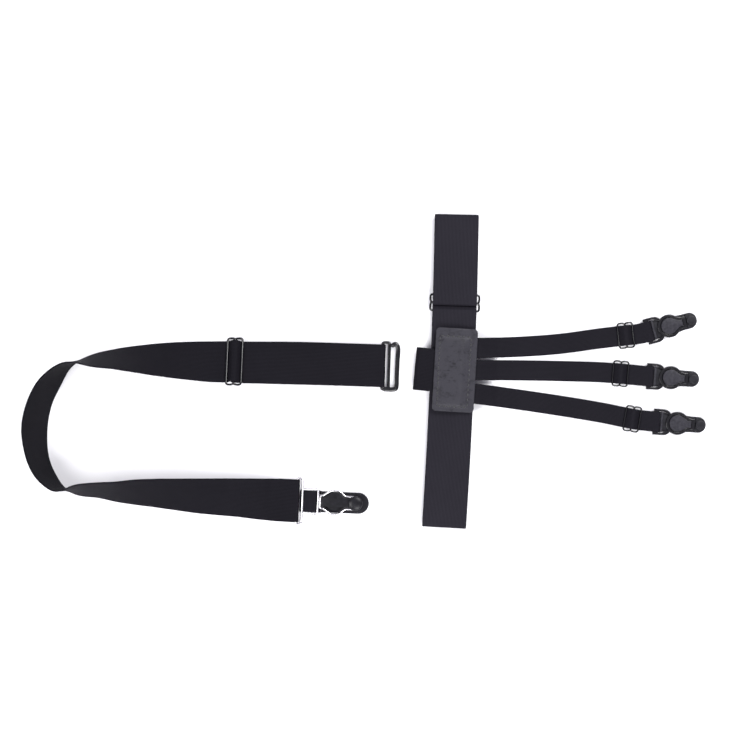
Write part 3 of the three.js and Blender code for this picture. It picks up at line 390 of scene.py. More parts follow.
def bent_wire(points, wire, closed=True):
    """A piece of round wire along an outline in the XY plane, with domed ends where it is open."""
    bpy.ops.mesh.primitive_circle_add(vertices=len(points), radius=0.01)
    made = bpy.context.object
    for vertex, point in zip(made.data.vertices, points):
        vertex.co = (*point, 0)
    if not closed:
        bpy.ops.object.mode_set(mode="EDIT")
        bpy.ops.mesh.select_all(action="DESELECT")
        bpy.ops.object.mode_set(mode="OBJECT")
        for edge in made.data.edges:
            edge.select = abs(edge.vertices[0] - edge.vertices[1]) > 1
        bpy.ops.object.mode_set(mode="EDIT")
        bpy.ops.mesh.select_mode(type="EDGE")
        bpy.ops.mesh.delete(type="EDGE")
        bpy.ops.object.mode_set(mode="OBJECT")
    bpy.ops.object.convert(target="CURVE")
    made.data.bevel_depth = wire / 2
    made.data.bevel_resolution = 4
    made.data.use_fill_caps = True
    bpy.ops.object.convert(target="MESH")
    bpy.ops.object.shade_smooth_by_angle(angle=math.radians(50))
    if not closed:
        ends = []
        for point in (points[0], points[-1]):
            bpy.ops.mesh.primitive_uv_sphere_add(segments=12, ring_count=8, radius=wire / 2,
                                                 location=(*point, 0))
            bpy.ops.object.shade_smooth()
            ends.append(bpy.context.object)
        for end in ends:
            end.select_set(True)
        made.select_set(True)
        bpy.context.view_layer.objects.active = made
        bpy.ops.object.join()
    return made


def straight_bar(wire, length):
    """A straight bar across, along Y."""
    bpy.ops.mesh.primitive_cylinder_add(vertices=20, radius=wire / 2, depth=length,
                                        rotation=(math.pi / 2, 0, 0))
    bpy.ops.object.shade_smooth_by_angle(angle=math.radians(50))
    return bpy.context.object


def put_together(name, pieces, place, material, node_name):
    """Joins the pieces of one node, sets them in their place and lets them stand for the node.
    With None for the material, the pieces keep the materials they have."""
    bpy.ops.object.select_all(action="DESELECT")
    for piece in pieces:
        piece.select_set(True)
    bpy.context.view_layer.objects.active = pieces[0]
    bpy.ops.object.transform_apply(location=True, rotation=True, scale=True)
    if len(pieces) > 1:
        bpy.ops.object.join()
    whole = bpy.context.object
    whole.name = name
    whole.data.name = name
    whole.data.transform(place)
    if material:
        whole.data.materials.clear()
        whole.data.materials.append(material)
    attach(whole, "root")
    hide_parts(node_name)
    bpy.ops.object.select_all(action="DESELECT")


def three_bar_slider(length, wire, web):
    """The wires of one slider, about its own middle, its bars along Y."""
    pitch = (length - wire) / 2
    side = web / 2 + SIDE_PLAY + wire / 2 + NOTCH
    dip = side - NOTCH
    corner, ear = pitch * 0.5, pitch * 0.30  # the rim's corners, and where an ear begins to dip
    outline = rounded([
        (pitch, -side, corner), (pitch, side, corner), (ear, side, wire), (0, dip, wire * 0.5),
        (-ear, side, wire), (-pitch, side, corner), (-pitch, -side, corner),
        (-ear, -side, wire), (0, -dip, wire * 0.5), (ear, -side, wire),
    ])
    return [bent_wire(outline, wire), straight_bar(wire, 2 * dip)]


def worn(tree, shader, texture, low, high, glossy, matt):
    """Lets a surface go from glossy to matt as a texture goes from low to high."""
    shine = node(tree, "ShaderNodeMapRange", {"Value": texture, "From Min": low, "From Max": high,
                                              "To Min": glossy, "To Max": matt})
    tree.links.new(shine, shader.inputs["Roughness"])


def enamel(name, colour, roughness):
    """Black baked enamel on steel: glossy, with faint orange peel and dust-fine wear."""
    material, tree, shader = finish_of(name, colour, roughness, Specular_IOR_Level=0.5)
    spot = node(tree, "ShaderNodeTexCoord", out="Object")
    peel = noise(tree, spot, scale=900, detail=3)
    wear = noise(tree, spot, scale=240, detail=6, roughness=0.7)
    worn(tree, shader, wear, low=0.35, high=0.75, glossy=roughness * 0.8, matt=roughness * 1.8)
    relief(tree, shader, peel, strength=0.12, distance=0.00008)
    return material


black_wire = enamel("black_wire", (0.004, 0.004, 0.005), 0.13)
put_together("thigh_slider_wire", three_bar_slider(BAND_SLIDER_LENGTH, SLIDER_WIRE, WIDE_WEB),
             band_course.seat(band_at, band_height), black_wire, "thigh_slider")

# Hook tab
# A second length of the wide elastic, folded double and sewn to itself beside the fold, which
# leaves a tunnel that the swan hook slides into. Its ends go under the leather patch.
SOCK_WEB = 0.039
TAB_REACH, TAB_TUCK, TAB_TUNNEL, TAB_DROOP = 0.0365, 0.002, 0.0038, 0.004
TAB_LOWER, TAB_TURN = 0.002, math.radians(-3.3)  # its root below the patch's middle, and its turn
TAB_PINCH, TAB_BEND = 3.4, 0.006  # where the tunnel closes, in its heights, and how softly
TAB_SEAMS = [(0.0040, 0.0006), (0.0068, 0.0002)]  # rows of stitches: distance from the fold, and lift
TAB_STITCHES, TAB_STITCH_PITCH, TAB_STITCH_FIRST = 17, 0.0023, -0.0184
TAB_STITCH, TAB_THREAD = 0.0016, 0.0007
PATCH_DROP, PATCH_ASIDE = 0.142, 0.002  # the patch's middle from the band's end and middle line
band_top = WIDE_THICK + max(BAND_OPEN + WIDE_THICK, band_height + wide_round - WIDE_THICK / 2)
tab_base = band_top + GAP
tunnel_outer = TAB_TUNNEL / 2 + WIDE_THICK
patch_spot, _, patch_across, _ = band_course.at(BAND_LENGTH - PATCH_DROP)
sewn = Matrix.Translation(patch_spot - patch_across * PATCH_ASIDE) @ Matrix.Rotation(-BAND_LEAN, 4, "Z")
tab_place = sewn @ Matrix.Translation((0, -TAB_LOWER, 0)) @ Matrix.Rotation(TAB_TURN, 4, "Z")
tab_root, tab_fold = (tab_place @ Vector((x, 0, 0)) - SHIFT for x in (0, -TAB_REACH))
tab_course = Course([(*tab_root.lerp(tab_fold, share).xy, 0) for share in (0, 0.5, 1)])
pinch = TAB_REACH - TAB_PINCH * tunnel_outer
low, high = tab_base + WIDE_THICK / 2, tab_base + WIDE_THICK * 1.5
tab_path = side_path([
    (TAB_TUCK, low, 0, 0), (pinch, low - TAB_BEND, TAB_BEND, -1),
    (TAB_REACH - tunnel_outer, tab_base + WIDE_THICK, tunnel_outer - WIDE_THICK / 2, 1),
    (pinch, high + TAB_BEND, TAB_BEND, -1), (TAB_TUCK, high, 0, 0),
])


def drooped(point):
    """The tab sags past the band's edge."""
    over = max((point.x - WIDE_WEB / 2) / (TAB_REACH - WIDE_WEB / 2), 0)
    return Vector((point.x, point.y - TAB_DROOP * over ** 2))


hook_tab = knitted_strap("hook_tab_elastic", tab_course, [drooped(p) for p in finer(tab_path, 0.0015)],
                         SOCK_WEB, WIDE_THICK, (dull, deep))
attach(hook_tab, "root")
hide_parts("hook_tab")


def sew(name, places, length, thread, material):
    """A row of stitches: one slim stitch is modelled and laid at each place, its length along X."""
    bpy.ops.mesh.primitive_uv_sphere_add(segments=8, ring_count=6, radius=0.5, rotation=(0, math.pi / 2, 0))
    bpy.ops.object.transform_apply(rotation=True)
    bpy.context.object.scale = (length, thread, thread)
    bpy.ops.object.transform_apply(scale=True)
    bpy.ops.object.shade_smooth()
    stitch = bpy.context.object
    rows = bmesh.new()
    for place in places:
        copy = stitch.data.copy()
        copy.transform(place)
        rows.from_mesh(copy)
        bpy.data.meshes.remove(copy)
    rows.to_mesh(stitch.data)
    rows.free()
    stitch.name = name
    stitch.data.name = name
    stitch.data.materials.append(material)
    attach(stitch, "root")
    bpy.ops.object.select_all(action="DESELECT")


def thread_finish(name, colour):
    """Twisted polyester thread."""
    material, tree, shader = finish_of(name, colour, 0.5, Sheen_Weight=0.3)
    spot = node(tree, "ShaderNodeTexCoord", out="Object")
    twist = node(tree, "ShaderNodeTexWave", {"Vector": spot, "Scale": 900.0, "Distortion": 2.0},
                 bands_direction="DIAGONAL")
    relief(tree, shader, twist, strength=0.5, distance=0.0001)
    return material


grey_thread = thread_finish("thread_grey", (0.17, 0.165, 0.185))
tab_stitches = []
for row, lift in TAB_SEAMS:
    s = TAB_REACH - row
    top = drooped(Vector((s, high + WIDE_THICK / 2 + lift)))
    for k in range(TAB_STITCHES):
        aside = Matrix.Translation((0, TAB_STITCH_FIRST + TAB_STITCH_PITCH * k, 0))
        tab_stitches.append(tab_course.seat(s, top.y) @ aside @ Matrix.Rotation(math.pi / 2, 4, "Z"))
sew("tab_stitches", tab_stitches, TAB_STITCH, TAB_THREAD, grey_thread)

# Leather patch
# A piece of dark grey grained leather with rounded corners, laid over the ends of the tab and of
# the shirt straps and sewn through all of them along a rectangle of black thread.
PATCH_WIDTH, PATCH_LENGTH, PATCH_THICK, PATCH_CORNER = 0.038, 0.076, 0.0018, 0.004
PATCH_TURN = math.radians(-1)
EDGE_ROUND, EDGE_DROP = 0.0009, 0.0006  # how far in and how deep the cut edge is rounded
SEAM = [(-0.0153, 0.0304), (0.0132, 0.0304), (0.0125, -0.0332), (-0.0147, -0.0332)]
SEAM_PITCH, SEAM_STITCH, SEAM_THREAD, SEAM_SUNK = 0.0046, 0.0027, 0.0013, 0.0002
SEAM_HALF, SEAM_MIDDLE = (0.0140, 0.0318), (-0.0010, -0.0014)  # of the sewn rectangle
SEAM_DIP, SEAM_DIP_WIDTH = 0.00035, 0.0011  # how deep and how far the thread pulls the leather down
DOME, DOME_EASE = 0.0009, 0.004  # the swelling inside the seam, and how soon it is reached
RIDGE, RIDGE_AT, RIDGE_WIDTH = 0.0010, 0.0062, 0.0036  # over the ends of the shirt straps
NARROW_WEB, NARROW_THICK = 0.0185, 0.0010
STRAP_ROOT, STRAP_PITCH = 0.0015, 0.0196
patch_place = sewn @ Matrix.Rotation(PATCH_TURN, 4, "Z")
patch_high = tab_base + 2 * WIDE_THICK + GAP
patch_low = tab_base + NARROW_THICK + GAP


def patch_under(x):
    """Height of the leather's underside: over the tab at the left, over the strap ends at the right."""
    start = STRAP_ROOT - TAB_TUCK
    t = min(max((x - start) / (PATCH_WIDTH * 0.3 - start), 0), 1)
    return patch_high + (patch_low - patch_high) * t * t * (3 - 2 * t)


def patch_swell(x, y):
    """How the sewn leather dips at its stitches and swells inside them, most over the strap ends."""
    inside = min(SEAM_HALF[0] - abs(x - SEAM_MIDDLE[0]), SEAM_HALF[1] - abs(y - SEAM_MIDDLE[1]))
    swell = -SEAM_DIP * math.exp(-(inside / SEAM_DIP_WIDTH) ** 2)
    if inside > 0:
        ridge = RIDGE * math.exp(-((x - RIDGE_AT) / RIDGE_WIDTH) ** 2)
        swell += DOME * (1 - math.exp(-inside / DOME_EASE)) + ridge * (0.8 + 0.2 * math.cos(y * 320))
    return swell + 0.00008 * math.sin(y * 210 + x * 90) * math.sin(x * 130 + 0.7)


bpy.ops.mesh.primitive_grid_add(x_subdivisions=56, y_subdivisions=104, size=1)
leather_patch = bpy.context.object
leather_patch.name = "leather_patch_hide"
for vertex in leather_patch.data.vertices:
    x = PATCH_WIDTH / 2 * math.sin(vertex.co.x * math.pi)
    inset = max(abs(x) - (PATCH_WIDTH / 2 - PATCH_CORNER), 0)
    half = PATCH_LENGTH / 2 - PATCH_CORNER + math.sqrt(max(PATCH_CORNER ** 2 - inset ** 2, 0))
    y = half * math.sin(vertex.co.y * math.pi * 0.999)
    edge = min(PATCH_WIDTH / 2 - abs(x), half - abs(y))
    rise = patch_swell(x, y) if edge > EDGE_ROUND else -EDGE_DROP * (1 - edge / EDGE_ROUND) ** 2
    vertex.co = (x, y, patch_under(x) + PATCH_THICK + rise)
solid = leather_patch.modifiers.new("thickness", "SOLIDIFY")
solid.thickness = PATCH_THICK
solid.offset = -1
solid.use_even_offset = False
bpy.ops.object.modifier_apply(modifier="thickness")
bpy.ops.object.shade_smooth_by_angle(angle=math.radians(60))
leather_patch.data.transform(patch_place)


def hide_finish():
    """Grained leather: small pebbles parted by fine creases, paler where the pebbles are rubbed."""
    material, tree, shader = finish_of("leather_grey", (0.015, 0.0145, 0.019), 0.5, Specular_IOR_Level=0.22,
                                       Sheen_Weight=0.03)
    spot = node(tree, "ShaderNodeTexCoord", out="Object")
    pebbles = node(tree, "ShaderNodeTexVoronoi", {"Vector": spot, "Scale": 1150.0}, feature="SMOOTH_F1")
    creases = noise(tree, spot, scale=650, detail=6, roughness=0.65)
    cloud = noise(tree, spot, scale=160, detail=2)
    two_tones(tree, shader, maths(tree, "ADD", creases, cloud), (0.0085, 0.0082, 0.0112),
              (0.0235, 0.0227, 0.0290), start=0.7, end=1.3 / 1.35)
    relief(tree, shader, maths(tree, "MULTIPLY", pebbles, creases), strength=0.5, distance=0.0003)
    return material


leather_patch.data.materials.append(hide_finish())
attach(leather_patch, "root")
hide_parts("leather_patch")

black_thread = thread_finish("thread_black", (0.004, 0.004, 0.005))
patch_stitches = []
for (x0, y0), (x1, y1) in zip(SEAM, SEAM[1:] + SEAM[:1]):
    count = round(math.hypot(x1 - x0, y1 - y0) / SEAM_PITCH)
    for k in range(count):
        t = (k + 0.5) / count
        x, y = x0 + (x1 - x0) * t, y0 + (y1 - y0) * t
        lie = Matrix.Translation((x, y, patch_under(x) + PATCH_THICK - SEAM_SUNK))
        patch_stitches.append(patch_place @ lie @ Matrix.Rotation(math.atan2(y1 - y0, x1 - x0), 4, "Z"))
sew("patch_stitches", patch_stitches, SEAM_STITCH, SEAM_THREAD, black_thread)

# Shirt straps
# Three straps of narrow elastic come off the patch to the floor. Each runs through its slider and
# round the clip's bar, and its end is sewn round the slider's middle bar.
SMALL_WIRE, SMALL_LENGTH = 0.0016, 0.0152
STRAP_DROP, STRAP_BEND = 0.022, 0.005
CLIP_METAL, CLIP_BAR, CLIP_LENGTH, CLIP_BUTTON = 0.0018, 0.0049, 0.0383, 0.0043
CLIP_PAD_THICK = 0.0012
narrow_satin = elastic("narrow_elastic_satin", (0.0032, 0.0030, 0.0044), (0.0120, 0.0112, 0.0150), 0.01,
                       wale=0.0011)
narrow_dull = elastic("narrow_elastic_back", (0.0028, 0.0026, 0.0038), (0.0110, 0.0104, 0.0138), 0.02,
                      wale=0.0011)
small_pitch = (SMALL_LENGTH - SMALL_WIRE) / 2
small_round = SMALL_WIRE / 2 + GAP + NARROW_THICK / 2
small_over = small_round + NARROW_THICK + GAP
small_height = 2 * (NARROW_THICK + GAP) + SMALL_WIRE / 2
clip_wrap = CLIP_METAL / 2 + GAP + NARROW_THICK / 2
clip_edge = CLIP_BAR - CLIP_METAL / 2 + GAP
clip_button = CLIP_LENGTH + GAP + CLIP_BUTTON
clip_height = max(NARROW_THICK / 2 + clip_wrap, CLIP_PAD_THICK + GAP + CLIP_METAL / 2)
# each strap's reach from root to button, its slider's distance from the clip, and its course in
# plan as shares of the reach, along and aside
SHIRT_STRAPS = [
    (0.2155, 0.0185, [(0, 0), (0.27, 0.0085), (0.44, 0.021), (0.61, 0.044), (0.735, 0.0585), (0.77, 0.0625),
                      (0.86, 0.0858), (0.993, 0.117)]),
    (0.2167, 0.0240, [(0, 0), (0.27, -0.001), (0.44, -0.004), (0.61, -0.009), (0.745, -0.0195),
                      (0.785, -0.0238), (0.86, -0.0285), (1, -0.038)]),
    (0.2258, 0.0193, [(0, 0), (0.1, -0.011), (0.26, -0.033), (0.425, -0.0575), (0.59, -0.085), (0.72, -0.111),
                      (0.78, -0.119), (0.86, -0.125), (0.99, -0.1357)]),
]
strap_courses = []
for index, (reach, back, rows) in enumerate(SHIRT_STRAPS):
    root = sewn @ Vector((STRAP_ROOT, (1 - index) * STRAP_PITCH, 0)) - SHIFT
    course = Course([(root.x + reach * along, root.y + reach * aside, 0) for along, aside in rows])
    clip_at = course.length - clip_button
    slider_at = clip_at - back
    strap_courses.append((course, clip_at, slider_at))
    base = tab_base + NARROW_THICK / 2
    path = side_path([
        (0, base, 0, 0),
        (PATCH_WIDTH / 2, base - STRAP_BEND, STRAP_BEND, -1),
        (PATCH_WIDTH / 2 + STRAP_DROP, NARROW_THICK / 2 + 2 * STRAP_BEND, 2 * STRAP_BEND, 1),
        (slider_at - small_pitch, small_height, small_round, 1),
        (slider_at, small_height, small_over, -1),
        (slider_at + small_pitch, small_height, small_round, 1),
        (clip_at + CLIP_METAL / 2, clip_height, clip_wrap, -1),
        (clip_at + clip_edge, clip_height, clip_wrap, -1),
        (slider_at + small_pitch + SMALL_WIRE / 2, NARROW_THICK / 2 + STRAP_BEND, STRAP_BEND, -1),
        (slider_at, small_height, small_round, -1),
        (slider_at + SEAM_LAP, small_height + small_round, 0, 0),
    ])
    strap = knitted_strap(f"shirt_strap_{index + 1}_elastic", course, finer(path, 0.002), NARROW_WEB,
                          NARROW_THICK, (narrow_satin, narrow_dull), 0.10)
    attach(strap, "root")
    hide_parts(f"shirt_strap_{index + 1}")

# Shirt sliders
# The same three-bar slider in thinner wire, one on each shirt strap.
for index, (course, clip_at, slider_at) in enumerate(strap_courses):
    put_together(f"shirt_slider_{index + 1}_wire", three_bar_slider(SMALL_LENGTH, SMALL_WIRE, NARROW_WEB),
                 course.seat(slider_at, small_height), black_wire, f"shirt_slider_{index + 1}")

# Garter clip frames
# Stamped black steel: a flat bar that the strap goes round, shoulders, and a keyhole ring with a
# slot that ends in a cross bar. Its edges are rolled round by tumbling before the enamel.
CLIP_WIDTH, CLIP_SHOULDER = 0.0239, 0.0085
CLIP_RING, CLIP_RING_RADIUS, CLIP_HOLE_RADIUS = 0.0222, 0.0106, 0.0078
CLIP_SLOT, CLIP_NECK_WALL, CLIP_END_BAR = 0.0068, 0.0016, 0.0033
CLIP_CORNER, CLIP_EDGE, CLIP_FLOW = 0.0006, 0.0005, 0.005
CLIP_FUNNEL = 57  # degrees from the axis at which the keyhole runs into its neck


def arc(x, radius, start, end, steps=40):
    """Points of an arc about a spot on the X axis, from one angle to another in degrees."""
    angles = [math.radians(start + (end - start) * k / steps) for k in range(steps + 1)]
    return [Vector((x + radius * math.cos(a), radius * math.sin(a))) for a in angles]


def both_sides(lower, between=()):
    """An outline from its lower side, what comes between, and the lower side's mirror image."""
    return [*lower, *between, *(Vector((p.x, -p.y)) for p in reversed(lower))]


def flat_plate(outlines, low, high, edge):
    """A flat plate with holes, from its outline and theirs, with its edges rounded by edge."""
    outline = bpy.data.curves.new("outline", "CURVE")
    outline.dimensions = "2D"
    outline.fill_mode = "BOTH"
    for points in outlines:
        spline = outline.splines.new("POLY")
        spline.points.add(len(points) - 1)
        for spot, point in zip(spline.points, points):
            spot.co = (*point, 0, 1)
        spline.use_cyclic_u = True
    outline.extrude = (high - low) / 2 - edge
    outline.bevel_depth = edge
    outline.bevel_resolution = 3
    outline.offset = -edge
    made = bpy.data.objects.new("plate", outline)
    bpy.context.collection.objects.link(made)
    made.location.z = (low + high) / 2
    bpy.ops.object.select_all(action="DESELECT")
    made.select_set(True)
    bpy.context.view_layer.objects.active = made
    bpy.ops.object.convert(target="MESH")
    bpy.ops.object.mode_set(mode="EDIT")
    bpy.ops.mesh.select_all(action="SELECT")
    bpy.ops.mesh.remove_doubles(threshold=0.000002)
    bpy.ops.mesh.normals_make_consistent(inside=False)
    bpy.ops.object.mode_set(mode="OBJECT")
    bpy.ops.object.shade_smooth_by_angle(angle=math.radians(40))
    return bpy.context.object


def keyhole(inset):
    """The clip's keyhole, drawn in by inset: a round that runs straight into a parallel neck."""
    mouth, radius, half = math.radians(CLIP_FUNNEL), CLIP_HOLE_RADIUS - inset, CLIP_SLOT / 2 - inset
    run = (radius * math.sin(mouth) - half) / math.cos(mouth)
    neck_at = CLIP_RING + radius * math.cos(mouth) + run * math.sin(mouth)
    end = CLIP_LENGTH - CLIP_END_BAR - inset
    lower = [Vector((neck_at, -half)), Vector((end, -half))]
    return arc(CLIP_RING, radius, CLIP_FUNNEL, 360 - CLIP_FUNNEL, 48) + both_sides(lower)


def clip_frame():
    """One clip frame about the strap end of its bar."""
    half, inner = CLIP_WIDTH / 2, NARROW_WEB / 2 + SIDE_PLAY
    neck = CLIP_SLOT / 2 + CLIP_NECK_WALL
    beyond = CLIP_RING + CLIP_RING_RADIUS * 1.25
    lower = [Vector((0, -half))] + eased((CLIP_SHOULDER, -half), (CLIP_SHOULDER + CLIP_FLOW, -half),
                                         arc(CLIP_RING, CLIP_RING_RADIUS, -128, 0)[0])
    lower += arc(CLIP_RING, CLIP_RING_RADIUS, -128, -42, 24)[1:]
    lower += eased(arc(CLIP_RING, CLIP_RING_RADIUS, -42, 0)[0], (CLIP_RING + CLIP_RING_RADIUS, -neck),
                   (beyond, -neck))[1:]
    lower += [Vector((CLIP_LENGTH - CLIP_CORNER, -neck)), Vector((CLIP_LENGTH, -neck + CLIP_CORNER))]
    window = [Vector((CLIP_BAR, -inner)), Vector((CLIP_SHOULDER, -inner))]
    window += arc(CLIP_RING, CLIP_RING_RADIUS, -138, -222, 24)
    window += [Vector((CLIP_SHOULDER, inner)), Vector((CLIP_BAR, inner))]
    return flat_plate([both_sides(lower), window, keyhole(0)], -CLIP_METAL / 2, CLIP_METAL / 2, CLIP_EDGE)


stamped_black = enamel("stamped_black", (0.004, 0.004, 0.005), 0.15)
for index, (course, clip_at, slider_at) in enumerate(strap_courses):
    put_together(f"clip_frame_{index + 1}_plate", [clip_frame()], course.seat(clip_at, clip_height),
                 stamped_black, f"clip_frame_{index + 1}")

# Garter clip pads
# Moulded plastic behind each frame: a grey disc and neck that stand in the keyhole, and a grey rib
# at the root, on a darker tongue. Its tip and the round button, which the shirt's tail is pressed
# over, lie beyond the frame.
CLIP_TIP, CLIP_TIP_RADIUS = CLIP_LENGTH + 0.0101, 0.0072
CLIP_PAD_RISE, CLIP_BUTTON_RISE, CLIP_RIB = 0.0013, 0.003, 0.0019
RIB_EDGE, DISC_EDGE, TONGUE_EDGE, TIP_EDGE, BUTTON_EDGE = 0.0004, 0.0007, 0.0003, 0.0005, 0.0009


def turned(profile, x):
    """A turned piece about a spot on the X axis, drawn up from its base ring by (radius, height)."""
    radius, height = profile[0]
    bpy.ops.mesh.primitive_circle_add(vertices=48, radius=radius, fill_type="NGON",
                                      location=(x, 0, height))
    bpy.ops.object.transform_apply(location=True)
    bpy.ops.object.mode_set(mode="EDIT")
    bpy.ops.mesh.select_all(action="SELECT")
    for (r0, h0), (r1, h1) in zip(profile, profile[1:]):
        bpy.ops.mesh.extrude_region_move(TRANSFORM_OT_translate={"value": (0, 0, h1 - h0)})
        bpy.ops.transform.resize(value=(r1 / r0, r1 / r0, 1), center_override=(x, 0, h1))
    bpy.ops.mesh.select_all(action="SELECT")
    bpy.ops.mesh.normals_make_consistent(inside=False)
    bpy.ops.object.mode_set(mode="OBJECT")
    bpy.ops.object.shade_smooth_by_angle(angle=math.radians(35))
    return bpy.context.object


def soft_rim(radius, low, high, edge, steps=5):
    """The profile of a disc whose upper rim is rounded."""
    rim = [(radius - edge * (1 - math.cos(a)), high - edge * (1 - math.sin(a)))
           for a in (math.pi / 2 * k / steps for k in range(steps + 1))]
    return [(radius, low)] + rim


def clip_pad():
    """The pieces of one clip pad, about the strap end of the frame's bar, from the tongue's back."""
    start = clip_edge + clip_wrap + NARROW_THICK / 2 + GAP
    back = clip_height - CLIP_METAL / 2 - GAP
    face = clip_height + CLIP_METAL / 2 + CLIP_PAD_RISE
    root_half, waist = NARROW_WEB / 2 - 0.0005, CLIP_RING - CLIP_RING_RADIUS * 0.5
    lower = [Vector((start, -root_half)), Vector((waist, -root_half * 0.94)),
             Vector((CLIP_LENGTH - CLIP_END_BAR, -CLIP_TIP_RADIUS))]
    round_tip = arc(CLIP_TIP - CLIP_TIP_RADIUS, CLIP_TIP_RADIUS, -90, 90)
    tongue = both_sides(lower, round_tip)
    tip = both_sides([Vector((CLIP_LENGTH + GAP, -CLIP_TIP_RADIUS))], round_tip)
    rib = [Vector((start + x, y)) for x, y in
           ((0, -root_half), (CLIP_RIB, -root_half), (CLIP_RIB, root_half), (0, root_half))]
    grey = [flat_plate([rib], back / 2, clip_height + CLIP_METAL / 2, RIB_EDGE),
            flat_plate([keyhole(GAP)], back / 2, face, DISC_EDGE)]
    dark = [flat_plate([tongue], 0, back, TONGUE_EDGE),
            flat_plate([tip], back / 2, CLIP_METAL + back / 2, TIP_EDGE),
            turned(soft_rim(CLIP_BUTTON, back, back + CLIP_BUTTON_RISE, BUTTON_EDGE), clip_button)]
    for piece in grey:
        piece.data.materials.append(grey_plastic)
    for piece in dark:
        piece.data.materials.append(dark_plastic)
    return grey + dark


def moulded(name, dark, light, roughness, mottle):
    """Moulded plastic or rubber: mottled tone and fine matt texture."""
    material, tree, shader = finish_of(name, dark, roughness, Specular_IOR_Level=0.22)
    spot = node(tree, "ShaderNodeTexCoord", out="Object")
    cloud = noise(tree, spot, scale=mottle, detail=5, roughness=0.6)
    two_tones(tree, shader, cloud, dark, light, start=0.35, end=0.7)
    relief(tree, shader, noise(tree, spot, scale=2600, detail=2), strength=0.25, distance=0.00008)
    return material


grey_plastic = moulded("grey_plastic", (0.0125, 0.0122, 0.0162), (0.0330, 0.0320, 0.0392), 0.42, 420.0)
dark_plastic = moulded("dark_plastic", (0.0060, 0.0060, 0.0080), (0.0150, 0.0147, 0.0185), 0.42, 420.0)
for index, (course, clip_at, slider_at) in enumerate(strap_courses):
    put_together(f"clip_pad_{index + 1}_moulding", clip_pad(), course.seat(clip_at, 0), None,
                 f"clip_pad_{index + 1}")

# Sock strap
# The longest strap of the wide elastic, lying unhooked: sewn round its slider, round the swan hook
# and back through the slider, then on round a turn where it stands on its edge, to the silver ring.
SOCK_REACH, SOCK_SPREAD = 0.313, 0.1225
SOCK_SLIDER = SOCK_REACH * 0.4297  # from the hook's bar to the slider's
HOOK_AWAY = Vector((-0.0296, 0.0023, 0))  # the hook's strap bar from the tab's fold
SOCK_SLIDER_LENGTH = 0.0155
SOCK_FOLD, SOCK_BEND = 0.018, 0.008
HOOK_WIRE, HOOK_ARM, RING_WIRE = 0.0028, 0.0042, 0.0020
# the course in plan, from the hook to the ring: out in shares of the reach, down in shares of the
# spread, and the roll in degrees that stands the strap on its edge at the turn
SOCK_ROWS = [
    (0, 0, 0), (0.1, -0.008, 1), (0.24, -0.017, 6), (0.365, -0.021, 14), (0.48, -0.027, 16),
    (0.56, -0.035, 27), (0.65, -0.042, 41), (0.765, -0.046, 60.5), (0.828, -0.037, 71), (0.89, -0.022, 89),
    (0.922, 0.024, 98), (0.959, 0.1395, 109), (0.986, 0.28, 111), (1, 0.465, 112), (0.99, 0.68, 106),
    (0.966, 0.81, 101), (0.926, 0.907, 90), (0.88, 0.913, 72), (0.822, 0.914, 65), (0.765, 0.927, 57),
    (0.705, 0.932, 49), (0.647, 0.94, 43), (0.53, 0.963, 31), (0.413, 0.979, 21), (0.35, 0.992, 11),
    (0.305, 1.0, 1), (0.285, 1.003, 0), (0.2497, 1.0068, 0),
]
hook_round = HOOK_WIRE / 2 + GAP + WIDE_THICK / 2
hook_height = WIDE_THICK / 2 + hook_round
ring_round = RING_WIRE / 2 + GAP + WIDE_THICK / 2
ring_height = WIDE_THICK / 2 + ring_round
sock_pitch = (SOCK_SLIDER_LENGTH - SLIDER_WIRE) / 2
sock_height = 2 * (WIDE_THICK + GAP) + SLIDER_WIRE / 2
hook_spot = tab_fold + HOOK_AWAY
sock_course = Course([(hook_spot.x - SOCK_REACH * out, hook_spot.y - SOCK_SPREAD * down, roll)
                      for out, down, roll in SOCK_ROWS], SOCK_WEB, WIDE_THICK)
sock_end = sock_course.length
sock_path = side_path([
    (SOCK_SLIDER - SEAM_LAP, sock_height + wide_round, 0, 0),
    (SOCK_SLIDER, sock_height, wide_round, -1),
    (SOCK_SLIDER - sock_pitch - SLIDER_WIRE / 2, WIDE_THICK / 2 + SOCK_BEND, SOCK_BEND, -1),
    (0, hook_height, hook_round, -1),
    (SOCK_SLIDER - sock_pitch, sock_height, wide_round, 1),
    (SOCK_SLIDER, sock_height, wide_over, -1),
    (SOCK_SLIDER + sock_pitch, sock_height, wide_round, 1),
    (SOCK_SLIDER + sock_pitch + 2 * SOCK_BEND, WIDE_THICK / 2 + SOCK_BEND, SOCK_BEND, 1),
    (sock_end - SOCK_FOLD - SOCK_BEND, WIDE_THICK / 2 + SOCK_BEND, SOCK_BEND, 1),
    (sock_end - SOCK_FOLD, WIDE_THICK * 1.5 + GAP - SOCK_BEND, SOCK_BEND, -1),
    (sock_end, ring_height, ring_round, -1),
    (sock_end - SOCK_FOLD, WIDE_THICK / 2, 0, 0),
])
# Its inner face, seen where it stands on its edge at the turn, takes the darker back tone: partly painted
# shade.
sock_strap = knitted_strap("sock_strap_elastic", sock_course, finer(sock_path, 0.0025), SOCK_WEB, WIDE_THICK,
                           (deep, dull), 0.12)
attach(sock_strap, "root")
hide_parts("sock_strap")

# Sock slider
# The same slider as the thigh band's, here with its middle bar and the strap over it in sight.
put_together("sock_slider_wire", three_bar_slider(SOCK_SLIDER_LENGTH, SLIDER_WIRE, SOCK_WEB),
             sock_course.seat(SOCK_SLIDER, sock_height), black_wire, "sock_slider")

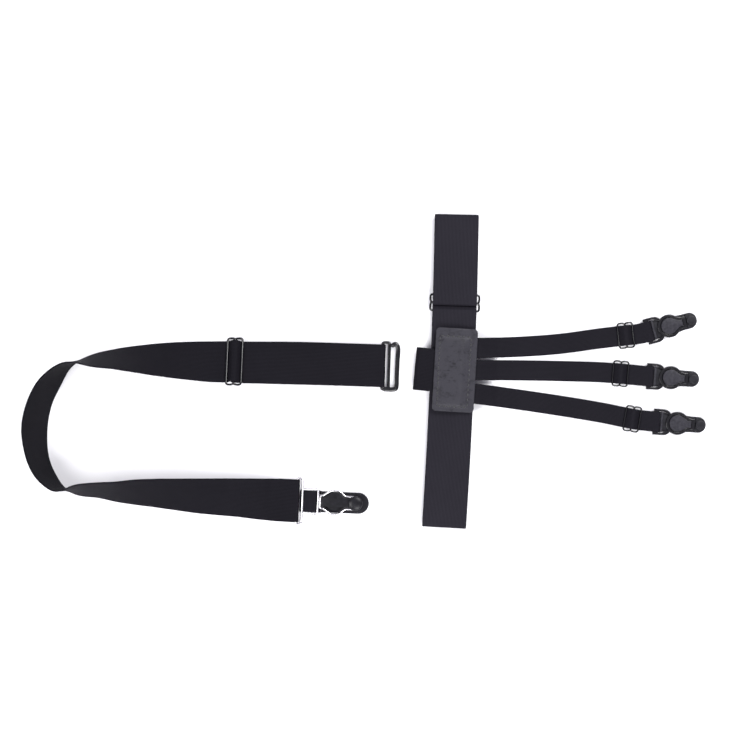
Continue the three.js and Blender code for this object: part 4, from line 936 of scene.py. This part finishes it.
# Swan hook
# Black wire bent to a closed loop for the strap, with one end going on from its foot, up along
# the throat and back in a short curl, so that the tab's tunnel can be slid on from the top. The
# wire of this arm is pressed wider than it is thick.
HOOK_BAR_PITCH, HOOK_THROAT, HOOK_LEAN, HOOK_CURL = 0.0063, 0.0074, 0.0004, 0.0048
HOOK_SHORT = 0.001  # the curl's top below the loop's end


def swan_hook():
    """The wires of the hook, about the middle of its strap bar."""
    side, corner = SOCK_WEB / 2 + SIDE_PLAY + HOOK_WIRE / 2, SIDE_PLAY + HOOK_WIRE / 2
    loop = rounded([(0, -side, corner), (HOOK_BAR_PITCH, -side, corner), (HOOK_BAR_PITCH, side, corner),
                    (0, side, corner)], 8)
    outer = HOOK_BAR_PITCH + HOOK_THROAT
    end, top = outer + HOOK_LEAN, side - HOOK_SHORT
    bends = [
        (HOOK_BAR_PITCH / 2, -side), (HOOK_BAR_PITCH, -side), (outer - 2 * corner, -side),
        (outer - 0.4 * corner, -side + 0.4 * corner), (outer, -side + 2 * corner), (outer, -side / 2),
        (outer + HOOK_LEAN / 2, side / 4), (end, top - 0.85 * HOOK_CURL),
        (end - 0.2 * HOOK_CURL, top - 0.3 * HOOK_CURL), (end - 0.55 * HOOK_CURL, top),
        (end - HOOK_CURL, top - 0.26 * HOOK_CURL),
    ]
    line = [Vector((x, y)) for x, y in bends]
    middle = [smooth_at(line, k / 90) for k in range(91)]
    arm = bent_wire(middle, HOOK_WIRE, closed=False)
    for vertex in arm.data.vertices:
        flat = Vector(vertex.co.xy)
        near = min(middle, key=lambda point: (point - flat).length_squared)
        vertex.co.xy = near + (flat - near) * (HOOK_ARM / HOOK_WIRE)
    return [bent_wire(loop, HOOK_WIRE), arm]


put_together("swan_hook_wire", swan_hook(), sock_course.seat(0, hook_height, against=True), black_wire,
             "swan_hook")

# Reducer ring
# Bright nickel-plated wire: a wide flat loop for the sock strap, and a narrower one soldered to
# its front bar for the link band.
RING_FRONT, RING_END, RING_FLARE = 0.0054, 0.0196, 0.0016
LINK_WEB = 0.0198


def bright_nickel():
    """Nickel plating: mirror bright, with drawing marks and a few duller patches."""
    material, tree, shader = finish_of("bright_nickel", (0.80, 0.79, 0.80), 0.16, Metallic=1.0)
    spot = node(tree, "ShaderNodeTexCoord", out="Object")
    patches = noise(tree, spot, scale=500, detail=5)
    worn(tree, shader, patches, low=0.3, high=0.8, glossy=0.10, matt=0.32)
    relief(tree, shader, patches, strength=0.08, distance=0.0001)
    return material


def reducer_ring():
    """The two loops of the ring, about the middle of its strap bar."""
    wide, narrow = (web / 2 + SIDE_PLAY + RING_WIRE / 2 for web in (SOCK_WEB, LINK_WEB))
    corner = SIDE_PLAY + RING_WIRE / 2
    front = RING_FRONT - corner
    wide_loop = rounded([(0, -wide, corner), (RING_FRONT, -wide, front), (RING_FRONT, wide, front),
                         (0, wide, corner)], 8)
    narrow_loop = [Vector((RING_FRONT, -narrow))]
    narrow_loop += eased((RING_END - corner, -narrow), (RING_END + corner / 2, -narrow - RING_FLARE),
                         (RING_END, -narrow + corner))
    narrow_loop += eased((RING_END, narrow - corner), (RING_END + corner / 2, narrow + RING_FLARE),
                         (RING_END - corner, narrow))
    narrow_loop += [Vector((RING_FRONT, narrow))]
    return [bent_wire(wide_loop, RING_WIRE), bent_wire(narrow_loop, RING_WIRE)]


nickel = bright_nickel()
put_together("reducer_ring_wire", reducer_ring(), sock_course.seat(sock_end, ring_height), nickel,
             "reducer_ring")

# Link band
# A short band of narrow black elastic that ties the silver ring to the sock clip: it goes under
# the ring's front bar, humps up between the bars and goes under the end bar.
KEEPER_WIRE = 0.0016
LINK_HUMP = 0.004
link_round = RING_WIRE / 2 + GAP + NARROW_THICK / 2
link_start = ring_round + WIDE_THICK / 2 + GAP
keeper_at = RING_END + RING_WIRE / 2 + GAP + KEEPER_WIRE / 2
link_end = keeper_at + KEEPER_WIRE / 2
link_path = side_path([
    (sock_end + link_start, ring_height - link_round, 0, 0),
    (sock_end + RING_FRONT, ring_height, link_round, 1),
    (sock_end + (RING_FRONT + RING_END) / 2, ring_height - LINK_HUMP, LINK_HUMP, -1),
    (sock_end + RING_END, ring_height, link_round, 1),
    (sock_end + link_end, ring_height - link_round, 0, 0),
])
link_band = knitted_strap("link_band_elastic", sock_course, finer(link_path, 0.001), LINK_WEB, NARROW_THICK,
                          (narrow_satin, narrow_dull))
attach(link_band, "root")
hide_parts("link_band")

# Keeper wire of the sock clip
# Bright wire bent to a pear: narrow at the link, widest over the pad's body, and closed round the
# button's stem, where the sock is held.
KEEPER_ROOT, KEEPER_BULGE = 0.0058, 0.0107
SOCK_BUTTON, SOCK_BUTTON_RADIUS = 0.0310, 0.0067
KEEPER_NECK = SOCK_BUTTON_RADIUS - 0.001
SOCK_PAD_THICK = 0.0016
pad_start = link_end + GAP
button_at = pad_start + SOCK_BUTTON


def keeper_outline(inset):
    """The wire's straight-sided outline with eased corners, drawn in by inset."""
    slant = inset / 3
    root, bulge, neck = (half - inset for half in (KEEPER_ROOT, KEEPER_BULGE, KEEPER_NECK))
    corners = [
        (keeper_at + inset, root, 0.001), (pad_start + 0.045 * SOCK_BUTTON + slant, root, 0.0015),
        (pad_start + 0.263 * SOCK_BUTTON + slant, bulge, 0.0025),
        (pad_start + 0.53 * SOCK_BUTTON - slant, bulge, 0.0025),
        (pad_start + 0.694 * SOCK_BUTTON - slant, neck, 0.002),
    ]
    round_end = [(p.x, p.y, 0) for p in arc(button_at, neck, -90, 90, 24)]
    return rounded([(x, -y, ease) for x, y, ease in corners] + round_end + corners[::-1])


keeper_height = SOCK_PAD_THICK + GAP + KEEPER_WIRE / 2
put_together("clip_wire_keeper", [bent_wire(keeper_outline(0), KEEPER_WIRE)],
             sock_course.seat(sock_end, keeper_height), nickel, "clip_wire")

# Sock clip pad
# A tongue of black rubber with a raised body inside the wire, and a stem with a domed button that
# the wire closes round.
SOCK_PAD_LENGTH, SOCK_PAD_WIDTH, SOCK_PAD_RAISE = 0.0433, 0.0192, 0.0022
SOCK_STEM, SOCK_BUTTON_RISE, SOCK_BUTTON_EDGE = 0.004, 0.0066, 0.0006
SOCK_PAD_EDGE, SOCK_BODY_EDGE = 0.0004, 0.0008


def sock_pad():
    """The pieces of the pad, about the ring's strap bar, from the pad's back."""
    half = SOCK_PAD_WIDTH / 2
    base = both_sides([Vector((pad_start, -half))], arc(pad_start + SOCK_PAD_LENGTH - half, half, -90, 90))
    body = keeper_outline(KEEPER_WIRE / 2 + GAP)
    under = keeper_height + KEEPER_WIRE / 2 + GAP
    foot, rise = under + SOCK_BUTTON_EDGE, SOCK_BUTTON_RISE - under - SOCK_BUTTON_EDGE
    dome = [(SOCK_BUTTON_RADIUS - SOCK_BUTTON_EDGE, under), (SOCK_BUTTON_RADIUS, under + 0.0004)]
    dome += [(SOCK_BUTTON_RADIUS * math.cos(a), foot + rise * math.sin(a))
             for a in map(math.radians, (0, 15, 30, 45, 60, 72, 82))]
    return [
        flat_plate([base], 0, SOCK_PAD_THICK, SOCK_PAD_EDGE),
        flat_plate([body], SOCK_PAD_THICK / 2, SOCK_PAD_THICK + SOCK_PAD_RAISE, SOCK_BODY_EDGE),
        turned([(SOCK_STEM, SOCK_PAD_THICK / 2), (SOCK_STEM, under + 0.0005)], button_at),
        turned(dome, button_at),
    ]


black_rubber = moulded("black_rubber", (0.0040, 0.0039, 0.0054), (0.0100, 0.0097, 0.0128), 0.36, 220.0)
put_together("sock_clip_pad_rubber", sock_pad(), sock_course.seat(sock_end, 0), black_rubber,
             "sock_clip_pad")
